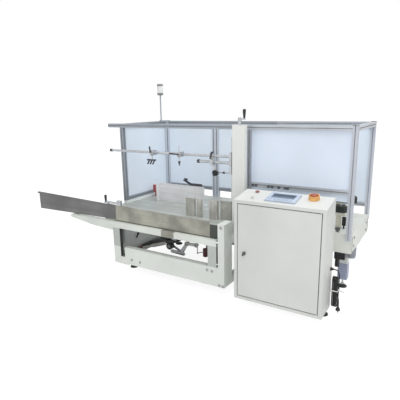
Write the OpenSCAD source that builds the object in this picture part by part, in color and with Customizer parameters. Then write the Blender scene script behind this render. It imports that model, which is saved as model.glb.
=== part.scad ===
// Case erector: opens flat carton blanks and feeds them through a belt lane.
// Millimetres, +Z up, origin on the floor under the centre of the outline.
// The layout is measured from the left front edge of the control cabinet.

/* [Cabinet] */
// Width of the control cabinet
cab_w = 720; // [640:5:760]
// Depth of the control cabinet
cab_d = 240; // [210:5:270]
// Height of the front face of the cabinet
cab_h = 835; // [760:5:860]
// Height of the cabinet floor above the ground
cab_lift = 60; // [50:1:75]
// Rise of the console from front to back
console_rise = 42; // [25:1:60]
// Sheet thickness of the cabinet
cab_wall = 2; // [1.5:0.1:3]
// Border of the front sheet around the door
door_margin = 25; // [20:1:35]
// Open joint around the door
door_gap = 8; // [7:0.5:10]
// Thickness of the door pan
door_t = 20; // [16:1:24]
// Radius of the two door pivot pins
pivot_r = 3; // [2.5:0.1:4]
// Height of the door lock above the ground
lock_z = 462; // [300:5:600]
// Distance of the door lock from the free edge of the door
lock_inset = 55; // [40:1:80]

/* [Console] */
// Distance of the touch screen from the left side of the cabinet
screen_x = 238; // [180:1:240]
// Width of the touch screen housing
screen_w = 238; // [220:1:290]
// Depth of the touch screen housing along the slope
screen_d = 168; // [140:1:180]
// Height of the touch screen housing above the console
screen_t = 12; // [8:1:18]
// Distance of the stop button from the right side of the cabinet
stop_inset = 140; // [90:1:160]
// Radius of the round collar around the stop button
stop_collar_r = 40; // [36:1:46]
// Height of the collar around the stop button
stop_collar_h = 34; // [24:1:40]
// Distance of the stop button from the rear of the console
stop_back = 74; // [60:1:100]
// Radius of the stop button head
stop_r = 27; // [20:1:30]
// Distance of the start button from the left side of the cabinet
start_x = 116; // [70:1:130]
// Radius of the start button
start_r = 15; // [11:1:18]

/* [Base frame] */
// Setback of the base frame behind the cabinet front
base_front = 61; // [40:1:90]
// Length of the infeed base frame
infeed_len = 1274; // [1150:5:1400]
// Gap between the infeed base frame and the cabinet
infeed_gap = 126; // [120:1:150]
// Underside of the base frame above the ground
clear_h = 82; // [70:1:100]
// Height of the front and rear lower beams
low_beam_h = 173; // [120:1:200]
// Underside of the upper beams above the ground
upper_z = 445; // [420:1:470]
// Height of the infeed upper beams
upper_h = 55; // [45:1:70]
// Depth of all beam sections
beam_d = 60; // [50:1:70]
// Sheet thickness of beams, legs and arms
beam_t = 4; // [3:0.5:6]
// Width of the left legs
leg_w = 86; // [70:1:100]
// Depth of the legs
leg_d = 82; // [70:1:100]
// Width of the channel post beside the cabinet
channel_w = 62; // [50:1:75]
// Depth of the channel post beside the cabinet
channel_d = 141; // [110:1:170]
// Top of the channel post above the ground
channel_top = 648; // [640:1:720]
// Height of the outfeed beams
out_beam_h = 145; // [120:1:150]
// Reach of the two magazine arms beyond the left legs
arm_reach = 614; // [500:1:680]
// Height of the magazine arms at the root
arm_root_h = 86; // [76:1:100]
// Height of the magazine arms at the tip
arm_tip_h = 26; // [20:1:40]
// Distance of the pedestal from the outfeed end
pedestal_inset = 80; // [70:1:120]
// Side of the square pedestal
pedestal_w = 80; // [70:1:100]

/* [Feet] */
// Radius of the levelling foot pads
pad_r = 40; // [30:1:45]
// Height of the levelling foot pads
pad_h = 24; // [18:1:30]
// Radius of the levelling screws
foot_screw_r = 8; // [6:0.5:10]
// Distance of the feet from the edges of the base frame
foot_inset = 135; // [110:1:160]
// Setback of the feet beside the cabinet behind the base frame front
inner_foot = 439; // [380:1:500]

/* [Guard] */
// Reach of the guard to the left of the cabinet
guard_left = 1544; // [1500:5:1560]
// Reach of the outfeed end past the cabinet
end_reach = 90; // [70:1:130]
// Setback of the guard behind the cabinet front
guard_front = 398; // [390:1:440]
// Depth of the guard
guard_depth = 780; // [720:5:860]
// Top of the guard above the ground
guard_top = 1450; // [1380:5:1500]
// Side of the aluminium profile
profile = 40; // [36:1:44]
// Thickness of the guard panels
panel_t = 6; // [5:0.5:8]
// Overhang of the front top rail past the left wall
rail_overhang = 159; // [100:1:200]
// Underside of the guard posts above the ground
post_bottom = 560; // [545:1:575]
// Underside of the rear wall above the ground
rear_wall_z = 675; // [640:1:720]
// Underside of the front guard above the ground
front_guard_z = 925; // [915:1:980]
// Depth of the lower front sheet under the front guard
apron_h = 57; // [40:1:65]
// Position of the first rear mullion left of the cabinet's left side
mullion_1 = 830; // [760:5:900]
// Position of the second rear mullion left of the cabinet's left side
mullion_2 = 20; // [-40:5:60]

/* [Column and guide head] */
// Width of the column
column_w = 118; // [100:1:124]
// Depth of the column
column_d = 44; // [40:1:60]
// Distance of the column's front ahead of the guard
column_ahead = 118; // [100:1:130]
// Gap between the column and the cabinet
column_gap = 48; // [40:1:60]
// Height of the column above the guard
column_rise = 5; // [0:1:30]
// Arm of the hand crank
crank_arm = 60; // [45:1:80]
// Angle of the crank arm from the long side of the machine
crank_angle = -25; // [-90:5:90]
// Length of the crank grip
grip_len = 74; // [60:1:90]
// Height of the upper guide rod above the ground
rod_z = 1185; // [1120:1:1220]
// Reach of the upper guide rod to the left of the column
rod_reach = 1426; // [1300:5:1500]
// Radius of the upper guide rod
rod_r = 12; // [8:0.5:13]
// Drop of the lower guide rod below the upper one
rod_drop = 54; // [48:1:64]
// Reach of the lower guide rod to the left of the column
low_rod_reach = 358; // [330:1:420]
// Radius of the lower guide rod
low_rod_r = 13; // [9:0.5:14]
// Distance of the first clamp from the tip of the upper rod
clamp_1_in = 568; // [500:1:620]
// Distance of the second clamp from the tip of the upper rod
clamp_2_in = 885; // [820:1:940]
// Distance of the third clamp from the column
clamp_3_in = 207; // [200:1:260]
// Upward travel of the guide head
head_up = 120; // [60:5:130]
// Downward travel of the guide head
head_down = 220; // [100:5:240]

/* [Magazine] */
// Top of the magazine and outfeed tables above the ground
table_z = 605; // [600:1:620]
// Sheet thickness of tables and guide plates
sheet_t = 3; // [2:0.5:4]
// Setback of the front guide plate behind the base frame front
plate_back = 39; // [30:1:45]
// Distance of the right end of the front guide plate from the cabinet
plate_right = 289; // [260:1:320]
// Length of the main front guide plate
plate_len = 1210; // [1160:5:1260]
// Top of the guide plates at the left tip
plate_top_l = 690; // [670:1:710]
// Top of the guide plates at the right end
plate_top_r = 644; // [630:1:660]
// Reach of the plate extension beyond the main plate
ext_reach = 1071; // [900:5:1150]
// Overlap of the extension over the main plate
ext_lap = 112; // [80:1:140]
// Position of the clamp on the plates left of the cabinet
plate_clamp_x = 1500; // [1440:1:1520]
// Setback of the rear guide behind the cabinet front
rear_guide_y = 700; // [640:5:760]
// Top of the rear guide above the ground
rear_guide_top = 800; // [760:1:830]

// Setback of the forming plates behind the cabinet front
form_y = 300; // [260:1:330]
// Top of the forming plates above the ground
form_top = 780; // [740:1:800]
// Radius of the curved flap ramp
ramp_r = 680; // [600:5:760]
// Top of the flap ramp above the ground
ramp_top = 338; // [320:1:360]
// Width of the flap ramp
ramp_w = 120; // [90:1:140]
// Radius of the black folder wheel
wheel_r = 36; // [28:1:40]

/* [Belt lane] */
// Width of the lane between the two side belts
lane_w = 320; // [250:5:360]
// Height of the side belts
belt_h = 55; // [50:1:100]
// Underside of the side belts above the tables
belt_lift = 134; // [80:1:150]
// Radius of the belt pulleys
pulley_r = 27; // [22:1:32]
// Thickness of the belts
belt_t = 3; // [2:0.5:4]

/* [Signal lamp] */
// Radius of the signal lamp
lamp_r = 35; // [28:1:40]
// Height of the top of the signal lamp above the guard
lamp_rise = 418; // [360:1:450]
// Distance of the signal lamp from the rear of the guard
lamp_back = 95; // [70:1:140]
// Height of the signal lamp
lamp_h = 124; // [100:1:140]

/* [Power lead] */
// Radius of the power lead
lead_r = 4.5; // [4:0.25:6]
// Height of the top of the hank above the ground
hank_top = 330; // [300:1:345]
// Width of the hank of lead
hank_w = 64; // [60:1:72]
// Height of the hank of lead
hank_h = 235; // [200:1:250]
// Thickness of the hank of lead
hank_t = 48; // [40:1:56]

/* [Hidden] */
$fn = 32;
fit = 0.1;
slide_fit = 0.3;
cab_top = cab_lift + cab_h;
cab_back_top = cab_top + console_rise;
slope = atan(console_rise / cab_d);
door_x0 = door_margin + door_gap;
door_x1 = cab_w - door_margin - door_gap;
door_z0 = cab_lift + door_margin + door_gap;
door_z1 = cab_top - door_margin - door_gap;
pivot_in = 5;
pivot_x = door_x1 - pivot_in;
pivot_y = pivot_in;
pin_len = 12;
lug_w = 24;
lug_d = 16;
lug_h = 12;
lock_r = 15;
lock_plate_t = 4;
wing_w = 10;
wing_len = 40;
wing_t = 14;
lock_out = lock_plate_t + wing_t;
infeed_r = -infeed_gap;
infeed_l = infeed_r - infeed_len;
guard_right = cab_w + end_reach;
guard_back = guard_front + guard_depth;
column_top = guard_top + column_rise;
lamp_top = guard_top + lamp_rise;
base_back = guard_back - profile;
out_front = guard_front + profile;
channel_l = infeed_r - channel_w;
post_slit = 15;
post_slit_l = channel_l - post_slit;
window_w = 56;
window_h = 105;
low_top = clear_h + low_beam_h;
upper_top = upper_z + upper_h;
out_top = upper_z + out_beam_h;
sill_h = 60;
foot_plate_t = 8;
column_r = -column_gap;
column_l = column_r - column_w;
column_x = (column_l + column_r) / 2;
column_front = guard_front - column_ahead;
column_back = column_front + column_d;
column_y = column_front + column_d / 2;
column_base_t = 12;
column_base_over = 15;
column_t = 5;
slot_w = panel_t + 2 * slide_fit;
slot_lip = 4.5;
slot_in = 15;
slot_depth = 12;
panel_in = 9;
wall_x = -guard_left;
wall_mid = wall_x + profile / 2;
left_sill_h = 30;
rail_z = guard_top - profile;
front_mid = guard_front + profile / 2;
rear_mid = guard_back - profile / 2;
front_post_gap = 46;
mid_post_x = -front_post_gap - profile;
mullion_w = 2 * profile;
plate_y = base_front + plate_back;
plate_l = -plate_right - plate_len;
ext_r = plate_l + ext_lap;
ext_l = plate_l - ext_reach;
table_front = plate_y + sheet_t + 1;
table_right = channel_l - 2;
lane_mid = (out_front + base_back) / 2;
belt_z = table_z + belt_lift;
belt_x0 = -20;
belt_x1 = guard_right - 110;
head_clear = 5;
head_face = column_l - head_clear;
head_t = 22;
head_w = 56;
head_over = 40;
head_under = 150;
head_h = head_over + head_under;
crank_grip_z = column_top + 54;
rail_w = 30;
rail_t = 12;
head_z0 = rod_z - head_under;
rod_end = head_face - 9;
cap_len = 22;
cap_wall = 3;
rod_tip = column_l - rod_reach;
low_rod_z = rod_z - rod_drop;
lamp_y = guard_back - lamp_back;
plug_len = 50;
plug_z = 12;
plug_shift = hank_w / 2 - lead_r;
gland_z = 395;
gland_len = 24;
hank_x = cab_w - 20;
hank_y = cab_d + 60;
hank_z0 = hank_top - hank_h;
outline_left = ext_l - cap_len;
outline_mid_x = (outline_left + guard_right) / 2;
outline_mid_y = (guard_back - lock_out) / 2;
paint = [0.88, 0.90, 0.87];
steel = [0.60, 0.60, 0.57];
alu = [0.68, 0.70, 0.74];
frost = [0.80, 0.86, 0.93];
dark = [0.08, 0.08, 0.09];
zinc = [0.72, 0.73, 0.74];
red = [0.62, 0.16, 0.16];
yellow = [0.95, 0.62, 0.12];
green_black = [0.10, 0.14, 0.12];
motor_grey = [0.45, 0.47, 0.50];
clamp_1 = rod_tip + clamp_1_in;
clamp_2 = rod_tip + clamp_2_in;
clamp_3 = column_l - clamp_3_in;
clamp_w = 36;
clamp_s = 44;
pin_r = 5;
pin_y = column_y - 32;
knob_x = clamp_3 + 55;
knob_z = low_rod_z - 88;
thin_rod_r = 6;
near_belt = lane_mid - lane_w / 2 - pulley_r - belt_t;
far_belt = lane_mid + lane_w / 2 + pulley_r + belt_t;
folder_y = base_front + 190;
folder_beam_x = infeed_l + 570;
wheel_x = infeed_l + 527;
wheel_z = ramp_top - 74;
red_x = infeed_l + 942;
red_z = ramp_top - 68;
red_y = folder_y + 50;
red_half = 36;
lever_y = folder_y + 76;

// Shared shapes

module block(x0, x1, y0, y1, z0, z1) {
    translate([x0, y0, z0])
        cube([x1 - x0, y1 - y0, z1 - z0]);
}

// Channel along X with its web at the front
module channel_front(x0, x1, y0, y1, z0, z1) {
    difference() {
        block(x0, x1, y0, y1, z0, z1);
        block(x0 - 1, x1 + 1, y0 + beam_t, y1 + 1, z0 + beam_t, z1 - beam_t);
    }
}

// Channel along X with its web at the rear
module channel_rear(x0, x1, y0, y1, z0, z1) {
    difference() {
        block(x0, x1, y0, y1, z0, z1);
        block(x0 - 1, x1 + 1, y0 - 1, y1 - beam_t, z0 + beam_t, z1 - beam_t);
    }
}

// Cross-section of the slotted aluminium profile, some units wide
module profile_section(units) {
    mid = profile / 2;
    difference() {
        square([units * profile, profile]);
        for (i = [0 : units - 1]) {
            translate([i * profile + mid, 0])
                slot_cut();
            translate([i * profile + mid, profile])
                rotate(180)
                    slot_cut();
        }
        translate([0, mid])
            rotate(-90)
                slot_cut();
        translate([units * profile, mid])
            rotate(90)
                slot_cut();
    }
}

// One slot of the profile, open towards -Y
module slot_cut() {
    translate([-slot_w / 2, -1])
        square([slot_w, slot_lip + 2]);
    translate([-slot_in / 2, slot_lip])
        square([slot_in, slot_depth - slot_lip]);
}

module profile_z(x, y, z0, z1, units = 1) {
    translate([x, y, z0])
        linear_extrude(z1 - z0)
            profile_section(units);
}

module profile_x(x0, x1, y, z) {
    translate([x0, y, z])
        rotate([90, 0, 90])
            linear_extrude(x1 - x0)
                profile_section(1);
}

module profile_y(x, y0, y1, z) {
    translate([x, y1, z])
        rotate([90, 0, 0])
            linear_extrude(y1 - y0)
                profile_section(1);
}

module rod_x(x0, x1, y, z, r) {
    translate([x0, y, z])
        rotate([0, 90, 0])
            cylinder(h = x1 - x0, r = r);
}

module rod_y(x, y0, y1, z, r) {
    translate([x, y1, z])
        rotate([90, 0, 0])
            cylinder(h = y1 - y0, r = r);
}

module rod_z(x, y, z0, z1, r) {
    translate([x, y, z0])
        cylinder(h = z1 - z0, r = r);
}

// Places children on the sloping console, flush with its face
module on_console(x, along) {
    translate([x, 0, cab_top])
        rotate([slope, 0, 0])
            translate([0, along, fit / 2])
                children();
}

// Base frame

module lower_beams() {
    color(paint) {
        difference() {
            channel_front(infeed_l, channel_l, base_front, base_front + beam_d, clear_h, low_top);
            block(infeed_l + leg_w, infeed_l + leg_w + window_w, base_front - 1,
                base_front + beam_d + 1, low_top - window_h, low_top + 1);
            block(infeed_l + leg_w / 4, infeed_l + leg_w + 1, base_front + beam_t,
                base_front + beam_d + 1, low_top - beam_t - 1, low_top + 1);
        }
        channel_rear(infeed_l, infeed_r, base_back - beam_d, base_back, clear_h, low_top);
    }
}

// Cross beams between the front and rear, at the floor and under the tables
module cross_beams() {
    y0 = base_front + beam_d;
    y1 = base_back - beam_d;
    inner = base_front + channel_d;
    z1 = clear_h + sill_h;
    color(paint) {
        block(infeed_l, infeed_l + beam_d, y0, y1, clear_h, z1);
        block(infeed_r - beam_d, infeed_r, inner, y1, clear_h, z1);
        block(infeed_l, infeed_l + beam_d, y0, y1, upper_z, upper_top);
        block(infeed_r - beam_d, infeed_r, inner, y1, upper_z, upper_top);
        block(folder_beam_x, folder_beam_x + beam_d, y0, y1, upper_z, upper_top);
    }
}

module leg(x0, x1, y0, y1) {
    difference() {
        block(x0, x1, y0, y1, low_top, upper_z);
        block(x0 + beam_t, x1 - beam_t, y0 + beam_t, y1 - beam_t, low_top - 1, upper_z + 1);
    }
}

// Front leg, a channel that is open on its right side
module open_leg(x0, x1, y0, y1) {
    difference() {
        leg(x0, x1, y0, y1);
        block(x1 - 2 * beam_t, x1 + 1, y0 + beam_t, y1 - beam_t, low_top - 1, upper_z + 1);
    }
}

module base_legs() {
    color(paint) {
        open_leg(infeed_l, infeed_l + leg_w, base_front, base_front + leg_d);
        open_leg(post_slit_l - leg_w, post_slit_l, base_front, base_front + leg_d);
        leg(infeed_l, infeed_l + leg_w, base_back - leg_d, base_back);
        leg(infeed_r - leg_w, infeed_r, base_back - leg_d, base_back);
    }
}

module channel_post() {
    y1 = base_front + channel_d;
    color(paint)
        difference() {
            block(channel_l, infeed_r, base_front, y1, clear_h, channel_top);
            block(channel_l - 1, infeed_r - beam_t, base_front + beam_t, y1 - beam_t,
                clear_h + beam_t, channel_top - beam_t);
        }
}

module upper_beams() {
    color(paint) {
        channel_front(infeed_l, post_slit_l, base_front, base_front + beam_d, upper_z, upper_top);
        channel_rear(infeed_l, infeed_r, base_back - beam_d, base_back, upper_z, upper_top);
    }
}

// Side view of a magazine arm, root at the right
module arm_side() {
    arm_belly = 16;
    polygon([[0, 0], [-arm_reach, 0], [-arm_reach, -arm_tip_h],
        [-arm_reach / 2, -arm_root_h + arm_belly], [0, -arm_root_h]]);
}

module arm(y0) {
    translate([infeed_l, y0 + beam_d, upper_top])
        rotate([90, 0, 0])
            difference() {
                linear_extrude(beam_d)
                    arm_side();
                translate([0, -beam_t, beam_t])
                    linear_extrude(beam_d - 2 * beam_t)
                        arm_side();
            }
}

module magazine_arms() {
    color(paint) {
        arm(base_front);
        arm(base_back - beam_d);
    }
}

module end_panel() {
    color(paint)
        block(infeed_l, infeed_l + sheet_t, base_front + leg_d, base_back - leg_d,
            clear_h + sill_h, upper_z);
}

module foot_plates() {
    side = foot_inset + pad_r;
    z0 = clear_h - foot_plate_t;
    color(paint) {
        block(infeed_l, infeed_l + side, base_front, base_front + side, z0, clear_h);
        block(infeed_l, infeed_l + side, base_back - side, base_back, z0, clear_h);
    }
}

// Feet positions as x, y and the height they carry
function feet() = let(z = clear_h - foot_plate_t, i = foot_inset, inner = infeed_r - beam_d / 2) [
    [infeed_l + i, base_front + i, z],
    [infeed_l + i, base_back - i, z],
    [inner, base_front + inner_foot, clear_h],
    [inner, base_back - i, clear_h],
    [pad_r, cab_d - pad_r, cab_lift],
    [cab_w - pad_r, cab_d - pad_r, cab_lift],
    [guard_right - pedestal_inset - pedestal_w / 2, lane_mid, clear_h]];

module foot_pads() {
    neck = foot_screw_r + 6;
    color(dark)
        for (f = feet())
            translate([f[0], f[1], 0])
                rotate_extrude()
                    polygon([[0, 0], [pad_r, 0], [pad_r, pad_h / 3], [neck, pad_h], [0, pad_h]]);
}

module foot_screws() {
    nut_h = 10;
    color(zinc)
        for (f = feet()) {
            rod_z(f[0], f[1], pad_h, f[2], foot_screw_r);
            translate([f[0], f[1], f[2] - nut_h])
                cylinder(h = nut_h, r = 1.75 * foot_screw_r, $fn = 6);
        }
}

module outfeed_side_beams() {
    color(paint) {
        channel_front(infeed_r, guard_right, out_front, out_front + beam_d, upper_z, out_top);
        channel_rear(infeed_r, guard_right, base_back - beam_d, base_back, upper_z, out_top);
    }
}

module outfeed_end_beams() {
    y0 = out_front + beam_d;
    y1 = base_back - beam_d;
    color(paint) {
        block(infeed_r, infeed_r + beam_d, y0, y1, upper_z, out_top);
        block(guard_right - beam_d, guard_right, y0, y1, upper_z, out_top);
    }
}

module pedestal() {
    x1 = guard_right - pedestal_inset;
    x0 = x1 - pedestal_w;
    y0 = lane_mid - pedestal_w / 2;
    y1 = lane_mid + pedestal_w / 2;
    top_t = 10;
    top_over = 20;
    color(paint) {
        difference() {
            block(x0, x1, y0, y1, clear_h, upper_z - top_t);
            block(x0 + beam_t, x1 - beam_t, y0 + beam_t, y1 - beam_t,
                clear_h + 2 * beam_t, upper_z - top_t - beam_t);
        }
        block(x0, guard_right, y0 - top_over, y1 + top_over, upper_z - top_t, upper_z);
    }
}

module cabinet_arms() {
    inset = 60;
    arm_w = 80;
    arm_h = 80;
    z0 = upper_z + 30;
    color(paint) {
        block(inset, inset + arm_w, cab_d, out_front, z0, z0 + arm_h);
        block(cab_w - inset - arm_w, cab_w - inset, cab_d, out_front, z0, z0 + arm_h);
    }
}

// Cabinet

module cabinet_side(inset) {
    polygon([[inset, cab_lift + inset], [cab_d - inset, cab_lift + inset],
        [cab_d - inset, cab_back_top - inset / cos(slope) - inset * tan(slope)],
        [inset, cab_top - inset / cos(slope) + inset * tan(slope)]]);
}

module cabinet_shell() {
    color(paint) {
        difference() {
            rotate([90, 0, 90])
                linear_extrude(cab_w)
                    cabinet_side(0);
            translate([cab_wall, 0, 0])
                rotate([90, 0, 90])
                    linear_extrude(cab_w - 2 * cab_wall)
                        cabinet_side(cab_wall);
            block(door_margin, cab_w - door_margin, -1, cab_wall + 1,
                cab_lift + door_margin, cab_top - door_margin);
        }
        pivot_lug(door_z1 + door_gap, -1);
        pivot_lug(door_z0 - door_gap - lug_h, 1);
    }
}

// Lug behind the front sheet that carries one door pivot pin
module pivot_lug(z0, up) {
    x0 = pivot_x - lug_w / 2;
    pin_z = up > 0 ? z0 + lug_h : z0 - door_gap - pin_len;
    block(x0, x0 + lug_w, cab_wall, cab_wall + lug_d, z0, z0 + lug_h);
    rod_z(pivot_x, pivot_y, pin_z, pin_z + door_gap + pin_len, pivot_r);
}

module mounting_plate() {
    edge = 40;
    rib_h = 8;
    rib_w = 35;
    y1 = cab_d - cab_wall;
    color(zinc) {
        block(edge, cab_w - edge, y1 - sheet_t, y1, cab_lift + edge, cab_top - edge);
        for (k = [1 : 3])
            block(2 * edge, cab_w - 2 * edge, y1 - sheet_t - rib_h, y1 - sheet_t,
                cab_lift + k * cab_h / 4, cab_lift + k * cab_h / 4 + rib_w);
    }
}

module touch_screen() {
    rim = 28;
    depth = 2;
    along = (cab_d / cos(slope) - screen_d) / 2;
    color(alu)
        on_console(screen_x, along)
            difference() {
                cube([screen_w, screen_d, screen_t]);
                translate([rim, 2 * rim, screen_t - depth])
                    cube([screen_w - 2 * rim, screen_d - 3 * rim, depth + 1]);
            }
}

module stop_housing() {
    wall = 6;
    floor_t = 8;
    color(yellow)
        on_console(cab_w - stop_inset, cab_d - stop_back)
            difference() {
                cylinder(h = stop_collar_h, r = stop_collar_r);
                translate([0, 0, floor_t])
                    cylinder(h = stop_collar_h, r = stop_collar_r - wall);
            }
}

module stop_button() {
    base = 8;
    stem_h = 16;
    head_h = 20;
    color(red)
        on_console(cab_w - stop_inset, cab_d - stop_back)
            translate([0, 0, base])
                rotate_extrude()
                    polygon([[0, 0], [stop_r / 2, 0], [stop_r / 2, stem_h], [stop_r, stem_h],
                        [stop_r, stem_h + head_h / 2], [stop_r / 2, stem_h + head_h],
                        [0, stem_h + head_h]]);
}

module start_button() {
    ring_h = 5;
    cap_h = 14;
    along = cab_d - 55;
    color(red)
        on_console(start_x, along) {
            cylinder(h = ring_h, r = start_r + 5);
            cylinder(h = cap_h, r = start_r);
        }
    color(zinc)
        on_console(start_x + 14, cab_d / 4) {
            cylinder(h = ring_h, r = start_r);
            translate([-4, -start_r, 0])
                cube([8, 2 * start_r, cap_h + 6]);
        }
}

module cabinet_door() {
    block_w = 20;
    color(paint)
        difference() {
            block(door_x0, door_x1, 0, door_t, door_z0, door_z1);
            difference() {
                block(door_x0 + cab_wall, door_x1 - cab_wall, cab_wall, door_t + 1,
                    door_z0 + cab_wall, door_z1 - cab_wall);
                block(door_x1 - block_w, door_x1, 0, door_t, door_z0, door_z0 + block_w);
                block(door_x1 - block_w, door_x1, 0, door_t, door_z1 - block_w, door_z1);
            }
            rod_z(pivot_x, pivot_y, door_z0 - 1, door_z0 + pin_len + 1, pivot_r + fit / 2);
            rod_z(pivot_x, pivot_y, door_z1 - pin_len - 1, door_z1 + 1, pivot_r + fit / 2);
        }
}

module door_lock() {
    x = door_x0 + lock_inset;
    color(dark) {
        rod_y(x, -lock_plate_t, 0, lock_z, lock_r);
        translate([x, -lock_out, lock_z])
            rotate([0, 30, 0])
                translate([-wing_w / 2, 0, -wing_len / 2])
                    cube([wing_w, wing_t, wing_len]);
    }
}

// Guard

module front_top_rail() {
    color(alu)
        profile_x(wall_x - rail_overhang, guard_right - profile, guard_front, rail_z);
}

// Rails between the corner posts at the rear and at both ends
module top_rails() {
    color(alu) {
        profile_x(wall_x + mullion_w, guard_right - profile, base_back, rail_z);
        profile_y(wall_x, out_front, base_back, rail_z);
        profile_y(guard_right - profile, out_front, base_back, rail_z);
    }
}

module guard_posts() {
    right = guard_right - profile;
    color(alu) {
        profile_z(right, guard_front, post_bottom, guard_top);
        profile_z(right, base_back, post_bottom, guard_top);
        profile_z(wall_x, base_back, post_bottom, guard_top, 2);
        profile_z(wall_x, guard_front, table_z + left_sill_h, rail_z);
        profile_z(-mullion_1 - profile, base_back, post_bottom, rail_z, 2);
        profile_z(-mullion_2 - profile, base_back, post_bottom, rail_z, 2);
        profile_z(mid_post_x, guard_front, post_bottom, rail_z);
    }
}

// Rear bays as left and right edges
function bays() = [
    [wall_x + mullion_w, -mullion_1 - profile],
    [-mullion_1 + profile, -mullion_2 - profile],
    [-mullion_2 + profile, guard_right - profile]];

module bottom_rails() {
    color(alu) {
        for (b = bays())
            profile_x(b[0], b[1], base_back, rear_wall_z);
        profile_y(wall_x, out_front, base_back, table_z + left_sill_h);
    }
}

module left_sill() {
    color(paint)
        block(wall_x, wall_x + profile, guard_front, base_back, table_z, table_z + left_sill_h);
}

module wall_panels() {
    z0 = table_z + left_sill_h + profile - panel_in;
    x0 = wall_mid - panel_t / 2;
    x1 = wall_mid + panel_t / 2;
    color(frost) {
        block(x0, x1, out_front - panel_in, base_back + panel_in, z0, rail_z - fit);
        block(x0, x1, out_front, base_back + panel_in, rail_z - 1, rail_z + panel_in);
        for (b = bays())
            block(b[0] - panel_in, b[1] + panel_in, rear_mid - panel_t / 2, rear_mid + panel_t / 2,
                rear_wall_z + profile - panel_in, rail_z + panel_in);
    }
}

module front_guard() {
    color(alu)
        profile_x(mid_post_x + profile, guard_right - profile, guard_front, front_guard_z);
}

module front_panel() {
    x0 = mid_post_x + profile - panel_in;
    x1 = guard_right - profile + panel_in;
    y0 = front_mid - panel_t / 2;
    color(frost) {
        block(x0, x1, y0, y0 + panel_t, front_guard_z + profile - panel_in, rail_z + panel_in);
        block(x0, x1, y0, y0 + panel_t, front_guard_z - apron_h, front_guard_z + panel_in);
    }
}

// Column and guide head

module column() {
    over = column_base_over;
    shaft_r = 10;
    color(paint)
        difference() {
            union() {
                block(column_l - over, column_r + over, column_front - over, column_back + over,
                    upper_top, upper_top + column_base_t);
                block(column_l, column_r, column_front, column_back,
                    upper_top + column_base_t, column_top);
            }
            block(column_l + column_t, column_r - column_t, column_front + column_t,
                column_back - column_t, upper_top + 2 * column_base_t, column_top - column_base_t);
            rod_z(column_x, column_y, column_top - column_base_t - 1, column_top + 1,
                shaft_r + fit / 2);
        }
}

module slide_rail() {
    edge = 10;
    color(zinc)
        block(column_l - rail_t, column_l, column_y - rail_w / 2, column_y + rail_w / 2,
            head_z0 - head_down - edge, head_z0 + head_h + head_up + edge);
}

module crank() {
    shaft_r = 10;
    hub_r = 16;
    hub_z = column_top + 6;
    hub_h = crank_grip_z - hub_z;
    arm_h = 12;
    arm_w = 20;
    color(zinc)
        translate([column_x, column_y, 0])
            rotate(crank_angle) {
                rod_z(0, 0, column_top - column_base_t, hub_z + 1, shaft_r);
                rod_z(0, 0, hub_z, hub_z + hub_h, hub_r);
                block(0, crank_arm, -arm_w / 2, arm_w / 2, hub_z + hub_h - arm_h, hub_z + hub_h);
                rod_z(crank_arm, 0, hub_z + hub_h - arm_h, hub_z + hub_h, arm_w / 2);
            }
}

module crank_grip() {
    neck = 8;
    belly = 13;
    edge = 4;
    color(dark)
        translate([column_x, column_y, crank_grip_z])
            rotate(crank_angle)
                translate([crank_arm, 0, 0])
                    rotate_extrude()
                        polygon([[0, 0], [neck, 0], [belly, grip_len * 0.7],
                            [belly, grip_len - edge], [neck, grip_len], [0, grip_len]]);
}

module guide_head() {
    x0 = head_face - head_t;
    groove = rail_w + 2 * slide_fit;
    depth = rail_t - head_clear + slide_fit;
    color(zinc)
        difference() {
            block(x0, head_face, column_y - head_w / 2, column_y + head_w / 2,
                head_z0, head_z0 + head_h);
            block(head_face - depth, head_face + 1, column_y - groove / 2, column_y + groove / 2,
                head_z0 - 1, head_z0 + head_h + 1);
            rod_x(x0 - 1, rod_end, column_y, rod_z, rod_r + fit);
            rod_x(x0 - 1, rod_end, column_y, low_rod_z, low_rod_r + fit);
            rod_x(x0 - 1, rod_end, column_y, knob_z, thin_rod_r + fit);
        }
}

module guide_rods() {
    color(zinc) {
        rod_x(rod_tip, rod_end, column_y, rod_z, rod_r);
        rod_x(column_l - low_rod_reach, rod_end, column_y, low_rod_z, low_rod_r);
        rod_x(knob_x, rod_end, column_y, knob_z, thin_rod_r);
    }
}

// Clamp blocks, their height pins and the slanted arm down to the thin rod
module rod_clamps() {
    half = clamp_s / 2;
    pin_low = rod_z - 62;
    arm_t = 10;
    arm_w = 22;
    drop = low_rod_z - knob_z;
    run = knob_x - clamp_3;
    color(zinc) {
        difference() {
            union() {
                for (x = [clamp_1, clamp_2])
                    block(x - clamp_w / 2, x + clamp_w / 2, column_y - clamp_s, column_y + half,
                        rod_z - half, rod_z + half);
                block(clamp_3 - clamp_w / 2, clamp_3 + clamp_w / 2, column_y - half, column_y + half,
                    low_rod_z - half, rod_z + half);
            }
            rod_x(rod_tip, rod_end, column_y, rod_z, rod_r + fit);
            rod_x(column_l - low_rod_reach - 1, rod_end, column_y, low_rod_z, low_rod_r + fit);
            for (x = [clamp_1, clamp_2])
                rod_z(x, pin_y, rod_z - clamp_s, rod_z + clamp_s, pin_r + fit);
        }
        rod_z(clamp_1, pin_y, pin_low, rod_z + half + 6, pin_r);
        rod_z(clamp_2, pin_y, pin_low, rod_z + 84, pin_r);
        difference() {
            translate([clamp_3, column_y - half, low_rod_z])
                rotate([0, atan2(drop, run), 0])
                    translate([0, -arm_t, -arm_w / 2])
                        cube([norm([run, drop]) + arm_w / 2, arm_t + fit, arm_w]);
            block(clamp_3 - clamp_w, clamp_3 + clamp_w, column_y - half, column_y,
                low_rod_z - half, rod_z);
        }
        difference() {
            rod_y(knob_x, column_y - half - fit, column_y + arm_w / 2, knob_z, arm_w / 2);
            rod_x(knob_x - arm_w, knob_x + arm_w, column_y, knob_z, thin_rod_r + fit);
        }
    }
}

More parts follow.
